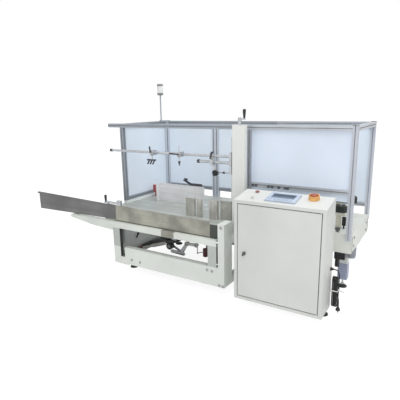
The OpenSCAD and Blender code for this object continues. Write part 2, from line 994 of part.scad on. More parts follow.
// Black levers, folding fingers, knobs and rod caps of the guide head
module clamp_levers() {
    half = clamp_s / 2;
    pin_low = rod_z - 62;
    front = column_y - clamp_s;
    lever_t = 9;
    lever_w = 12;
    lever_up = 62;
    lever_side = 100;
    bulb_r = 13;
    bulb_h = 44;
    bar_len = 96;
    bar_h = 12;
    finger_len = 46;
    finger_w = 8;
    finger_lean = 30;
    collar_r = 10;
    collar_len = 18;
    ball_r = 8;
    color(dark) {
        translate([clamp_1 - lever_w, front - lever_t, rod_z])
            rotate([0, -8, 0])
                cube([lever_w, lever_t, lever_up]);
        translate([clamp_2, front - lever_t, rod_z - lever_w / 2])
            mirror([1, 0, 0])
                rotate([0, -4, 0])
                    cube([lever_side, lever_t, lever_w]);
        translate([clamp_2, pin_y, pin_low - bulb_h])
            cylinder(h = bulb_h, r1 = 3, r2 = bulb_r);
        block(clamp_1 - bar_len * 0.6, clamp_1 + bar_len * 0.4, pin_y - lever_w, pin_y + lever_w,
            pin_low - bar_h, pin_low);
        for (k = [0 : 2])
            translate([clamp_1 - bar_len * 0.4 + k * bar_len * 0.32, pin_y - finger_w, pin_low - bar_h / 2])
                rotate([0, finger_lean, 0])
                    translate([0, 0, -finger_len])
                        cube([finger_w, 2 * finger_w, finger_len]);
        rod_cap(rod_tip, rod_z, rod_r);
        rod_cap(column_l - low_rod_reach, low_rod_z, low_rod_r);
        translate([clamp_3 - lever_w, column_y - half - lever_t, rod_z - half])
            rotate([0, 12, 0])
                cube([lever_w, lever_t, lever_up]);
        translate([clamp_3 + ball_r / 2, column_y, rod_z + half])
            cylinder(h = 2 * ball_r, r = ball_r);
        translate([knob_x, column_y - half - lever_t - 1, knob_z])
            rotate([90, 0, 0])
                cylinder(h = 20, r = 26);
        difference() {
            rod_x(knob_x + 52, knob_x + 52 + collar_len, column_y, knob_z, collar_r);
            rod_x(knob_x, rod_end, column_y, knob_z, thin_rod_r + fit);
        }
    }
}

// Cap over the left end of a rod
module rod_cap(x, z, r) {
    difference() {
        rod_x(x - cap_wall, x + cap_len, column_y, z, r + cap_wall);
        rod_x(x, x + cap_len + 1, column_y, z, r + fit);
    }
}

// Magazine

module table_tray(x0, x1, y0, y1, z0) {
    difference() {
        block(x0, x1, y0, y1, z0, table_z);
        block(x0 + sheet_t, x1 - sheet_t, y0 + sheet_t, y1 - sheet_t, z0 - 1, table_z - sheet_t);
    }
}

module magazine_table() {
    color(steel)
        table_tray(wall_x, table_right, table_front, base_back, upper_top);
}

module outfeed_table() {
    color(steel)
        table_tray(infeed_r, guard_right, out_front, base_back, out_top);
}

// Height of the tapered plates' top edge at a place along the machine
function plate_top(x) = let(k = (x - ext_l) / (-plate_right - ext_l))
    plate_top_l + k * (plate_top_r - plate_top_l);

module plate_xz(points, y, t) {
    translate([0, y + t, 0])
        rotate([90, 0, 0])
            linear_extrude(t)
                polygon(points);
}

module front_plate() {
    lip = 12;
    tab_in = 500;
    tab_w = 140;
    tab_x = -plate_right - tab_in;
    r = -plate_right;
    end_drop = 20;
    color(steel) {
        plate_xz([[plate_l, upper_top], [r, upper_top], [r, plate_top(r)],
            [plate_l, plate_top(plate_l)]], plate_y, sheet_t);
        plate_xz([[plate_l, plate_top(plate_l) - sheet_t], [r, plate_top(r) - sheet_t],
            [r, plate_top(r)], [plate_l, plate_top(plate_l)]], plate_y, lip);
        block(r - 1, table_right, plate_y, plate_y + sheet_t, upper_top, plate_top(r) - end_drop);
        block(tab_x, tab_x + tab_w, base_front - sheet_t, plate_y + 1, upper_top,
            upper_top + sheet_t);
        block(tab_x, tab_x + tab_w, base_front - sheet_t, base_front, upper_z + sheet_t,
            upper_top + sheet_t);
    }
}

module plate_extension() {
    tip_h = 196;
    lap_h = 148;
    foot_w = 60;
    foot_in = 30;
    foot_x = infeed_l - arm_reach + foot_in;
    lip = 12;
    bead_r = 8;
    low_l = plate_top_l - tip_h;
    low_r = plate_top(ext_r) - lap_h;
    lip_r = min(plate_l, wall_x - sheet_t);
    low_lip = low_l + (low_r - low_l) * (lip_r - ext_l) / (ext_r - ext_l);
    y0 = plate_y - sheet_t;
    color(steel * 0.8) {
        plate_xz([[ext_l, low_l], [ext_r, low_r], [ext_r, plate_top(ext_r)],
            [ext_l, plate_top_l]], y0, sheet_t);
        plate_xz([[ext_l, low_l], [lip_r, low_lip], [lip_r, low_lip + sheet_t],
            [ext_l, low_l + sheet_t]], y0, lip);
        block(foot_x, foot_x + foot_w, y0, plate_y, upper_top, plate_top_r - 2 * bead_r - lip);
    }
    color(dark)
        rod_x(ext_l - cap_len, ext_l, plate_y - sheet_t / 2, plate_top_l - bead_r - sheet_t, bead_r);
}

// Saddle on the two plates with its slotted bar
module plate_clamp() {
    grip_w = 24;
    saddle_h = 16;
    bar_h = 20;
    bar_len = 220;
    front = 14;
    x0 = -plate_clamp_x - grip_w;
    x1 = x0 + bar_len;
    z = plate_top(x0) + fit;
    color(zinc) {
        block(x0, x0 + 2 * grip_w, plate_y - front, plate_y + front, z, z + saddle_h);
        block(x0 + grip_w, x1, plate_y - front / 2, plate_y + front / 2, z + saddle_h / 2,
            z + saddle_h / 2 + bar_h);
        block(x1 - 2 * grip_w, x1, plate_y - front, plate_y + front, z, z + saddle_h / 2 + 2 * bar_h);
    }
}

module clamp_handle() {
    grip_w = 24;
    saddle_h = 16;
    neck = 6;
    lever_r = 10;
    lever_h = 74;
    z = plate_top(-plate_clamp_x - grip_w) + fit + saddle_h;
    color(dark)
        translate([-plate_clamp_x - grip_w / 2, plate_y, z])
            rotate_extrude()
                polygon([[0, 0], [neck, 0], [neck, lever_h / 4], [lever_r, lever_h - neck],
                    [neck, lever_h], [0, lever_h]]);
}

module rear_guide() {
    left_in = 1000;
    right_in = 420;
    x0 = -plate_right - left_in;
    x1 = -plate_right - right_in;
    flange = 60;
    color(steel) {
        block(x0, x1, rear_guide_y, rear_guide_y + sheet_t, table_z, rear_guide_top);
        block(x0, x0 + sheet_t, rear_guide_y - flange, rear_guide_y, table_z, rear_guide_top);
        block(x0, x1, rear_guide_y, rear_guide_y + flange, table_z, table_z + sheet_t);
    }
}

// Plate behind the rear guide with two slanted suction bars
module suction_arm() {
    right_in = 450;
    plate_w = 150;
    plate_h = 90;
    plate_t = 8;
    rise = 28;
    bar_len = 96;
    bar_t = 12;
    bar_gap = 22;
    lean = 26;
    x1 = -plate_right - right_in;
    x0 = x1 - plate_w;
    y0 = rear_guide_y + sheet_t;
    z1 = rear_guide_top + rise;
    color(alu)
        block(x0, x1, y0, y0 + plate_t, z1 - plate_h, z1);
    color(dark)
        for (k = [0, 1])
            translate([x0 + k * bar_gap, y0 + plate_t / 2, z1 - bar_gap])
                rotate([0, lean, 0]) {
                    translate([-bar_len, 0, 0])
                        cube([bar_len + bar_t, bar_t, bar_t]);
                    translate([-bar_len + bar_t, bar_t / 2, bar_t / 2])
                        cylinder(h = 2 * bar_t, r1 = bar_t / 2, r2 = bar_t);
                }
}

// One upright angle of the forming station, flange on its right side
module form_angle(x0, x1, y) {
    depth = 34;
    block(x0, x1, y, y + sheet_t, table_z, form_top);
    block(x1 - sheet_t, x1, y, y + depth, table_z, form_top);
    block(x0, x1, y, y + depth, table_z, table_z + sheet_t);
}

module forming_plates() {
    first = plate_l + 830;
    set_back = 40;
    color(steel) {
        form_angle(first, first + 91, form_y);
        form_angle(first + 124, first + 168, form_y);
        form_angle(first + 255, first + 339, form_y);
        form_angle(first + 352, table_right - set_back / 2, form_y + set_back);
    }
}

module red_rollers() {
    roller_r = 28;
    roller_h = 80;
    stand = 55;
    stand_r = 8;
    from_wall = 94;
    behind = 128;
    low_r = 26;
    x = wall_x + from_wall;
    y = rear_guide_y + behind;
    color(red) {
        rod_z(x, y, table_z, table_z + stand + 1, stand_r);
        rod_z(x, y, table_z + stand, table_z + stand + roller_h, roller_r);
        rod_z(red_x, red_y, red_z - red_half, red_z + red_half, low_r);
    }
}

module flap_ramp() {
    ramp_t = 6;
    cheek_t = 8;
    a0 = 83;
    a1 = 133;
    am = (a0 + a1) / 2;
    reach = 2 * ramp_r;
    sector = [reach * [cos(a0), sin(a0)], reach * [cos(am), sin(am)], reach * [cos(a1), sin(a1)]];
    tip = (ramp_r - ramp_t) * [cos(a1), sin(a1)];
    end = (ramp_r - ramp_t) * [cos(a0), sin(a0)];
    belly = [-0.555 * ramp_r, 0.765 * ramp_r];
    waist = [-0.28 * ramp_r, 0.9 * ramp_r];
    color(dark) {
        translate([infeed_l + 558, folder_y, ramp_top - ramp_r])
            rotate([90, 0, 0]) {
                translate([0, 0, -ramp_w])
                    linear_extrude(ramp_w)
                        intersection() {
                            difference() {
                                circle(ramp_r, $fn = 160);
                                circle(ramp_r - ramp_t, $fn = 160);
                            }
                            polygon(concat([[0, 0]], sector));
                        }
                translate([0, 0, -cheek_t])
                    linear_extrude(cheek_t)
                        intersection() {
                            circle(ramp_r - ramp_t / 2, $fn = 160);
                            polygon(concat([end], sector, [tip, belly, waist]));
                        }
            }
        rod_y(wheel_x, folder_y + 34, lever_y, wheel_z, wheel_r);
    }
}

// Hangers, rocker lever and spring rod of the lower flap folder
module folder_levers() {
    t = 8;
    bar_h = 40;
    hang_w = 34;
    elbow = [wheel_x + 128, wheel_z - 58];
    pivot = [wheel_x + 190, wheel_z + 46];
    arm = [wheel_x + 300, wheel_z + 52];
    hub_r = 11;
    eye_r = 18;
    spring_r = 4;
    spring_in = 1.5;
    spring_drop = [0, -86];
    shelf_w = 12;
    shelf_z = red_z - red_half;
    y1 = lever_y + t;
    y2 = y1 + t;
    color(alu) {
        block(folder_beam_x + 4, folder_beam_x + beam_d - 4, folder_y + 20, folder_y + 20 + t,
            ramp_top + slide_fit, upper_z);
        block(folder_beam_x + beam_d, infeed_r - beam_d, y1, y1 + bar_h, upper_z, upper_z + bar_h);
        block(pivot[0] - hang_w / 2, pivot[0] + hang_w / 2, y1, y2, pivot[1] - hub_r, upper_z + 1);
        block(red_x - hang_w / 2, red_x + hang_w / 2, y1, y2, shelf_z - t, upper_z + 1);
        block(red_x - shelf_w, red_x + shelf_w, red_y - shelf_w, y2, shelf_z - t, shelf_z);
        bars_xz([[wheel_x, wheel_z], elbow, pivot, arm], lever_y, hub_r, t + 1, eye_r);
        rod_y(arm[0], lever_y, y2 - spring_in, arm[1], hub_r);
        bars_xz([arm, arm + spring_drop, [red_x, red_z]], y1 + spring_in, spring_r,
            t - 2 * spring_in, 2 * spring_r);
    }
}

// Flat bars through the points of the side view, with thicker round eyes at the points
module bars_xz(points, y, r, t, eye) {
    step = 1;
    translate([0, y + t, 0])
        rotate([90, 0, 0]) {
            for (p = points)
                translate(p)
                    cylinder(h = t, r = eye);
            for (k = [1 : len(points) - 1]) {
                d = points[k] - points[k - 1];
                translate(points[k - 1])
                    rotate(atan2(d[1], d[0]))
                        translate([0, -r, step])
                            cube([norm(d), 2 * r, t - 2 * step]);
            }
        }
}

// Air cylinder in the open front leg, from the lower to the upper beam
module air_cylinder() {
    bore_r = 17;
    rod_radius = 8;
    foot_h = 14;
    side_gap = 4;
    x = infeed_l + leg_w - bore_r + side_gap;
    y = base_front + beam_t + bore_r + 2 * side_gap;
    z0 = low_top - window_h + foot_h;
    z1 = upper_z - 2 * foot_h;
    color(dark) {
        rod_z(x, y, clear_h + beam_t, z0, rod_radius);
        block(x - bore_r, x + bore_r, y - bore_r - side_gap, y + bore_r, z0 - foot_h, z0 + 1);
        rod_z(x, y, z0, z1, bore_r);
        rod_z(x, y, z1 - 1, upper_z, rod_radius);
    }
}

// Valve row behind the console and filter unit under the outfeed beam
module air_units() {
    valve_w = 18;
    valve_d = 12;
    valve_h = 18;
    first = -33;
    row = [0, 30, 144, 178, 236, 292, 314];
    z0 = front_guard_z + 4;
    unit_w = 84;
    unit_d = 44;
    unit_h = 62;
    bowl_r = 19;
    bowl_h = 70;
    ux = cab_w - 38;
    uy = out_front + 8;
    color(dark) {
        for (x = row)
            block(first + x, first + x + valve_w, guard_front - valve_d, guard_front, z0, z0 + valve_h);
        block(ux, ux + unit_w, uy, uy + unit_d, upper_z - unit_h, upper_z);
        rod_z(ux + bowl_r + 4, uy + unit_d / 2, upper_z - unit_h - bowl_h, upper_z - unit_h + 1, bowl_r);
    }
}

// Belt lane

module belt_ring(y) {
    r = pulley_r + belt_t;
    translate([0, y, belt_z])
        linear_extrude(belt_h)
            difference() {
                belt_outline(r);
                belt_outline(pulley_r + fit);
            }
}

module belt_outline(r) {
    translate([belt_x0, -r])
        square([belt_x1 - belt_x0, 2 * r]);
    for (x = [belt_x0, belt_x1])
        translate([x, 0])
            circle(r, $fn = 48);
}

module side_belts() {
    color(green_black) {
        belt_ring(near_belt);
        belt_ring(far_belt);
    }
}

module belt_beam(y) {
    bar = 40;
    foot = 60;
    translate([0, y, belt_z])
        for (x = [belt_x0, belt_x1])
            rod_z(x, 0, 0, belt_h, pulley_r);
    block(belt_x0, belt_x1, y - bar / 2, y + bar / 2, belt_z + 10, belt_z + belt_h - 10);
    for (x = [belt_x0 + 100, belt_x1 - 100 - foot])
        block(x, x + foot, y - bar / 2, y + bar / 2, table_z, belt_z + 11);
}

module belt_beams() {
    color(alu) {
        belt_beam(near_belt);
        belt_beam(far_belt);
    }
}

module drive_motor() {
    motor_r = 38;
    motor_h = 100;
    flange = 12;
    from_end = 4;
    ahead = 112;
    x = guard_right - motor_r - from_end;
    y = lane_mid - ahead;
    color(motor_grey) {
        block(x - motor_r, x + motor_r, y - motor_r, y + motor_r, upper_z - flange, upper_z);
        rod_z(x, y, upper_z - flange - motor_h, upper_z - flange + 1, motor_r);
    }
}

// Signal lamp

module signal_lamp() {
    pole_r = 8;
    base_r = 22;
    base_h = 10;
    z0 = lamp_top - lamp_h;
    x = wall_mid;
    color(alu)
        translate([x, lamp_y, 0])
            rotate_extrude()
                polygon([[0, guard_top], [base_r, guard_top], [base_r, guard_top + base_h],
                    [pole_r, guard_top + base_h], [pole_r, z0], [lamp_r, z0],
                    [lamp_r, lamp_top - lamp_h / 4], [lamp_r - 4, lamp_top], [0, lamp_top]]);
}

// Power lead

module cord_gland() {
    gland_r = 11;
    color(dark)
        rod_y(hank_x, cab_d, cab_d + gland_len, gland_z, gland_r);
}

// Tube swept along route points that lie in a plane facing X
module swept(points, r) {
    sides = 10;
    n = len(points);
    function dir(i) = i == 0 ? [0, 1, 0] : points[min(i + 1, n - 1)] - points[max(i - 1, 0)];
    function side_1(d) = let(s = cross(d, [1, 0, 0])) s / norm(s);
    function side_2(d) = let(s = cross(d, side_1(d))) s / norm(s);
    rings = [for (i = [0 : n - 1]) for (k = [0 : sides - 1])
        points[i] + r * (cos(360 * k / sides) * side_1(dir(i)) + sin(360 * k / sides) * side_2(dir(i)))];
    walls = [for (i = [0 : n - 2]) for (k = [0 : sides - 1])
        [i * sides + k, i * sides + (k + 1) % sides,
            (i + 1) * sides + (k + 1) % sides, (i + 1) * sides + k]];
    first = [for (k = [sides - 1 : -1 : 0]) k];
    last = [for (k = [0 : sides - 1]) (n - 1) * sides + k];
    polyhedron(points = rings, faces = concat([first], walls, [last]));
}

module cord_lead() {
    y0 = cab_d + gland_len;
    bend = hank_y - y0;
    turn = [for (a = [0 : 9 : 90]) [hank_x, y0 + bend * sin(a), gland_z - bend + bend * cos(a)]];
    color(dark)
        swept(concat(turn, [[hank_x, hank_y, (gland_z + hank_top) / 2], [hank_x, hank_y, hank_top]]),
            lead_r);
}

module cord_hank() {
    r = hank_w / 2;
    color(dark)
        translate([hank_x, hank_y + hank_t / 2, hank_z0])
            rotate([90, 0, 0])
                linear_extrude(hank_t) {
                    translate([-r, r])
                        square([hank_w, hank_h - 2 * r]);
                    translate([0, r])
                        circle(r);
                    translate([0, hank_h - r])
                        circle(r);
                }
}

module power_plug() {
    plug_r = 17;
    half = hank_w / 2;
    inner = plug_shift - lead_r;
    z1 = hank_z0 + half - sqrt(half * half - inner * inner);
    color(dark)
        translate([hank_x + plug_shift, hank_y, 0]) {
            rod_z(0, 0, plug_z + plug_len - 1, z1, lead_r);
            rod_z(0, 0, plug_z, plug_z + plug_len, plug_r);
        }
}

// The whole part

module place() {
    translate([-outline_mid_x, -outline_mid_y, 0])
        children();
}

place() lower_beams();
place() cross_beams();
place() base_legs();
place() channel_post();
place() upper_beams();
place() magazine_arms();
place() end_panel();
place() foot_plates();
place() foot_pads();
place() foot_screws();
place() outfeed_side_beams();
place() outfeed_end_beams();
place() pedestal();
place() cabinet_arms();
place() cabinet_shell();
place() mounting_plate();
place() touch_screen();
place() stop_housing();
place() stop_button();
place() start_button();
place() cabinet_door();
place() door_lock();
place() front_top_rail();
place() top_rails();
place() guard_posts();
place() bottom_rails();
place() left_sill();
place() wall_panels();
place() front_guard();
place() front_panel();
place() column();
place() slide_rail();
place() crank();
place() crank_grip();
place() guide_head();
place() guide_rods();
place() rod_clamps();
place() clamp_levers();
place() magazine_table();
place() outfeed_table();
place() front_plate();
place() plate_extension();
place() plate_clamp();
place() clamp_handle();
place() rear_guide();
place() suction_arm();
place() forming_plates();
place() red_rollers();
place() flap_ramp();
place() folder_levers();
place() air_cylinder();
place() air_units();
place() side_belts();
place() belt_beams();
place() drive_motor();
place() signal_lamp();
place() cord_gland();
place() cord_lead();
place() cord_hank();
place() power_plug();
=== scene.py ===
"""Case erector: finishes, fittings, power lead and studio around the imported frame.

Layout sizes are millimetres: X to the right of the cabinet's left side, Y behind its front, Z above
the floor. Blender works in the row frame, in metres, and at() leads from one to the other.
"""
from __future__ import annotations

import logging
import math
from dataclasses import dataclass, replace
from enum import Enum
from typing import Callable, Sequence

import bmesh
import bpy
from mathutils import Matrix, Vector


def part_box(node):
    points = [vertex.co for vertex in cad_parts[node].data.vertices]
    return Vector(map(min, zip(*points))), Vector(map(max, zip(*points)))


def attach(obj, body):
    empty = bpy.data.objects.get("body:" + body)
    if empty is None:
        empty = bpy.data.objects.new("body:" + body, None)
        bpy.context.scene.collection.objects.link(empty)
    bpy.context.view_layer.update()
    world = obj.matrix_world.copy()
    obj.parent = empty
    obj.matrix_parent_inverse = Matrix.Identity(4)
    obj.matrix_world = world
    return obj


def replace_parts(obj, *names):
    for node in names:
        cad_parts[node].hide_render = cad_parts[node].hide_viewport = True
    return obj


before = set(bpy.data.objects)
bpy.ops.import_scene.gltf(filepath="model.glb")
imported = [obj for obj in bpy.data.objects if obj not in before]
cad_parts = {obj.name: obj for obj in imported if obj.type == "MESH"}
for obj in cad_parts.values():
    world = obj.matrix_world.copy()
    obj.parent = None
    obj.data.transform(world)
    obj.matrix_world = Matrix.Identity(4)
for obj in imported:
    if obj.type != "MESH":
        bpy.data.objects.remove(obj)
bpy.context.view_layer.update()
LOG = logging.getLogger("case_erector")
MM = 0.001
CABINET_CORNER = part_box("cabinet_shell")[0]
# Cosine from which two directions count as the same.
ALIGNED = 0.9

Colour = tuple[float, float, float]
Place = tuple[float, float, float]
Pair = tuple[float, float]
Pairs = tuple[Pair, ...]
Box = tuple[Place, Place]
Piece = bpy.types.Object
Node = bpy.types.Node
Socket = bpy.types.NodeSocket
Tree = bpy.types.NodeTree
Test = Callable[[Vector, Vector], bool]


class Axis(Enum):
    """Axes of the machine, as unit vectors."""

    X = (1.0, 0.0, 0.0)
    Y = (0.0, 1.0, 0.0)
    Z = (0.0, 0.0, 1.0)
    LEFT = (-1.0, 0.0, 0.0)
    FRONT = (0.0, -1.0, 0.0)
    DOWN = (0.0, 0.0, -1.0)

    @property
    def vector(self) -> Vector:
        """The axis as a vector."""
        return Vector(self.value)

    @property
    def turn(self) -> Matrix:
        """The turn that carries +Z onto the axis."""
        return Vector(Axis.Z.value).rotation_difference(self.vector).to_matrix().to_4x4()


Spot = tuple[Vector, Axis]


class Body(Enum):
    """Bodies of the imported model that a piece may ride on."""

    FRAME = "frame"
    DOOR = "door"
    CRANK = "hand_crank"
    GUIDE = "guide"


def at(x: float, y: float, z: float) -> Vector:
    """Turns a layout point in millimetres into the row frame in metres."""
    return Vector((CABINET_CORNER.x + x * MM, CABINET_CORNER.y + y * MM, z * MM))


def linear(colour: Colour) -> tuple[float, float, float, float]:
    """Turns a display colour of 0 to 255 into linear light.

    Args:
        colour: Red, green and blue as seen on a display.

    Returns:
        Linear red, green, blue and an alpha of 1.
    """
    parts = [c / 255.0 for c in colour]
    light = [c / 12.92 if c <= 0.04045 else ((c + 0.055) / 1.055) ** 2.4 for c in parts]
    return (light[0], light[1], light[2], 1.0)


class Graph:
    """Writes nodes into one shader tree."""

    def __init__(self, tree: Tree) -> None:
        """Keeps the tree to write into."""
        self.tree = tree

    def add(self, kind: str, *first: object, **values: object) -> Node:
        """Adds a node and sets its options and inputs.

        Args:
            kind: Type of the node.
            first: Its first inputs in order, as plain values or other nodes' outputs.
            values: Options by attribute name, and inputs by their name with _ for a space.

        Returns:
            The new node.
        """
        node = self.tree.nodes.new(kind)
        for key, value in values.items():
            if hasattr(node, key):
                setattr(node, key, value)
            else:
                self.join(value, node.inputs[key.replace("_", " ")])
        for value, socket in zip(first, node.inputs):
            self.join(value, socket)
        return node

    def join(self, value: object, socket: Socket) -> None:
        """Links an output to an input, or sets the input to a plain value.

        Args:
            value: The output or value.
            socket: The input.
        """
        if isinstance(value, Socket):
            self.tree.links.new(value, socket)
        else:
            socket.default_value = value

    def math(self, what: str, a: object, b: object, clamp: bool = False) -> Socket:
        """Works on two values, and may hold the result between 0 and 1."""
        return self.add("ShaderNodeMath", a, b, operation=what, use_clamp=clamp).outputs[0]

    def dot(self, a: object, b: object) -> Socket:
        """Gives the dot product of two vectors."""
        return self.add("ShaderNodeVectorMath", a, b, operation="DOT_PRODUCT").outputs["Value"]

    def mix(self, share: object, a: object, b: object, colours: bool = True) -> Socket:
        """Mixes two colours or two values.

        Args:
            share: Part of the second one.
            a: First colour or value.
            b: Second colour or value.
            colours: Whether they are colours.

        Returns:
            The mixed output.
        """
        kind, first, result = ("RGBA", 6, 2) if colours else ("FLOAT", 2, 0)
        node = self.add("ShaderNodeMix", share, data_type=kind)
        self.join(a, node.inputs[first])
        self.join(b, node.inputs[first + 1])
        return node.outputs[result]

    def band(self, value: object, low: float, high: float) -> Socket:
        """Maps a value smoothly from 0 at low to 1 at high."""
        span = {"interpolation_type": "SMOOTHSTEP", "From_Min": low, "From_Max": high}
        return self.add("ShaderNodeMapRange", value, **span).outputs["Result"]

    def cloud(self, detail: float, rough: float, span: Pair, **reads: object) -> Socket:
        """Adds noise that runs from 0 to 1 over a span of its values."""
        noise = self.add("ShaderNodeTexNoise", Detail=detail, Roughness=rough, **reads)
        return self.band(noise.outputs["Fac"], *span)


class Effect(Enum):
    """Shared surface effects, each one a shader node group."""

    PATCHES = "soft_patches"
    GRAIN = "fine_grain"
    WEAR = "edge_wear"
    DUST = "settled_dust"
    LINES = "brush_lines"


class EffectShelf:
    """Builds each shared effect once and hands out its node group."""

    def __init__(self) -> None:
        """Starts with no group made."""
        self.groups: dict[Effect, Tree] = {}
        self.makers: dict[Effect, Callable[[], None]] = {
            Effect.PATCHES: self.patches, Effect.GRAIN: self.grain, Effect.WEAR: self.wear,
            Effect.DUST: self.dust, Effect.LINES: self.lines,
        }

    def group(self, effect: Effect) -> Tree:
        """Gives the node group of an effect, and makes it the first time.

        Args:
            effect: The effect that is wanted.

        Returns:
            Its node group.
        """
        if effect not in self.groups:
            tree = bpy.data.node_groups.new(effect.value, "ShaderNodeTree")
            self.groups[effect] = tree
            self.graph = Graph(tree)
            self.makers[effect]()
        return self.groups[effect]

    def start(self, scale: float, *outputs: str) -> None:
        """Gives the open group a vector and a scale to read, and its outputs.

        Args:
            scale: Scale where a material sets none.
            outputs: Name of each output value.
        """
        sockets = self.graph.tree.interface
        sockets.new_socket("Vector", in_out="INPUT", socket_type="NodeSocketVector")
        size = sockets.new_socket("Scale", in_out="INPUT", socket_type="NodeSocketFloat")
        size.default_value = scale
        for name in outputs:
            sockets.new_socket(name, in_out="OUTPUT", socket_type="NodeSocketFloat")
        given = self.graph.add("NodeGroupInput").outputs
        self.reads = {name: given[name] for name in ("Vector", "Scale")}
        self.out = self.graph.add("NodeGroupOutput").inputs

    def patches(self) -> None:
        """Makes soft cloudy patches of uneven tone."""
        self.start(8.0, "Patch")
        patch = self.graph.cloud(detail=3.0, rough=0.55, span=(0.3, 0.7), **self.reads)
        self.graph.join(patch, self.out["Patch"])

    def grain(self) -> None:
        """Makes the fine orange-peel grain of a coated or moulded surface."""
        self.start(500.0, "Height", "Speck")
        graph = self.graph
        noise = graph.add("ShaderNodeTexNoise", Detail=2.0, Roughness=0.5, **self.reads)
        cells = graph.add("ShaderNodeTexVoronoi", **self.reads)
        height = graph.math("ADD", noise.outputs["Fac"], cells.outputs["Distance"])
        graph.join(graph.math("MULTIPLY", height, 0.5), self.out["Height"])
        graph.join(graph.band(noise.outputs["Fac"], 0.35, 0.65), self.out["Speck"])

    def wear(self) -> None:
        """Makes a broken mask along the sharp edges of a piece."""
        self.start(30.0, "Worn")
        graph = self.graph
        softened = graph.add("ShaderNodeBevel", samples=4, Radius=0.003).outputs["Normal"]
        flat = graph.add("ShaderNodeNewGeometry").outputs["Normal"]
        edge = graph.math("SUBTRACT", 1.0, graph.band(graph.dot(softened, flat), 0.86, 0.995))
        broken = graph.cloud(detail=4.0, rough=0.6, span=(0.42, 0.62), **self.reads)
        graph.join(graph.math("MULTIPLY", edge, broken), self.out["Worn"])

    def dust(self) -> None:
        """Makes a thin uneven layer of dust on faces that look up."""
        self.start(14.0, "Dust")
        graph = self.graph
        facing = graph.add("ShaderNodeNewGeometry").outputs["Normal"]
        upward = graph.band(graph.add("ShaderNodeSeparateXYZ", facing).outputs["Z"], 0.5, 1.0)
        uneven = graph.cloud(detail=5.0, rough=0.65, span=(0.35, 0.75), **self.reads)
        graph.join(graph.math("MULTIPLY", upward, uneven), self.out["Dust"])

    def lines(self) -> None:
        """Makes fine parallel lines from a vector that is already stretched along them."""
        self.start(1.0, "Line", "Streak")
        graph = self.graph
        line = graph.cloud(detail=3.0, rough=0.7, span=(0.25, 0.75), **self.reads)
        graph.join(line, self.out["Line"])
        broad = self.reads | {"Scale": graph.math("MULTIPLY", self.reads["Scale"], 0.12)}
        streak = graph.cloud(detail=1.0, rough=0.4, span=(0.3, 0.7), **broad)
        graph.join(streak, self.out["Streak"])


SHELF = EffectShelf()


@dataclass(frozen=True)
class Zone:
    """A part of a piece, past a plane of the row frame, with a colour of its own; some zones hold painted
    light and shade.
    """

    axis: Axis
    start: float
    colour: Colour
    roughness: float
    metallic: float = 0.0


@dataclass(frozen=True)
class Finish:
    """One procedural finish, from its colour down to its grain, wear and glow."""

    name: str
    colour: Colour
    roughness: float
    metallic: float = 0.0
    patch: float = 0.06
    patch_size: float = 0.25
    grain: float = 0.15
    grain_size: float = 0.002
    speck: float = 0.03
    wear: float = 0.0
    wear_colour: Colour = (150, 152, 150)
    dust: float = 0.0
    lines: Axis | None = None
    line_depth: float = 0.1
    coat: float = 0.0
    glow: float = 0.0
    zones: tuple[Zone, ...] = ()

    def material(self) -> bpy.types.Material:
        """Gives the finish as a material, made the first time that it is asked for."""
        return bpy.data.materials.get(self.name) or Coating(self).build()


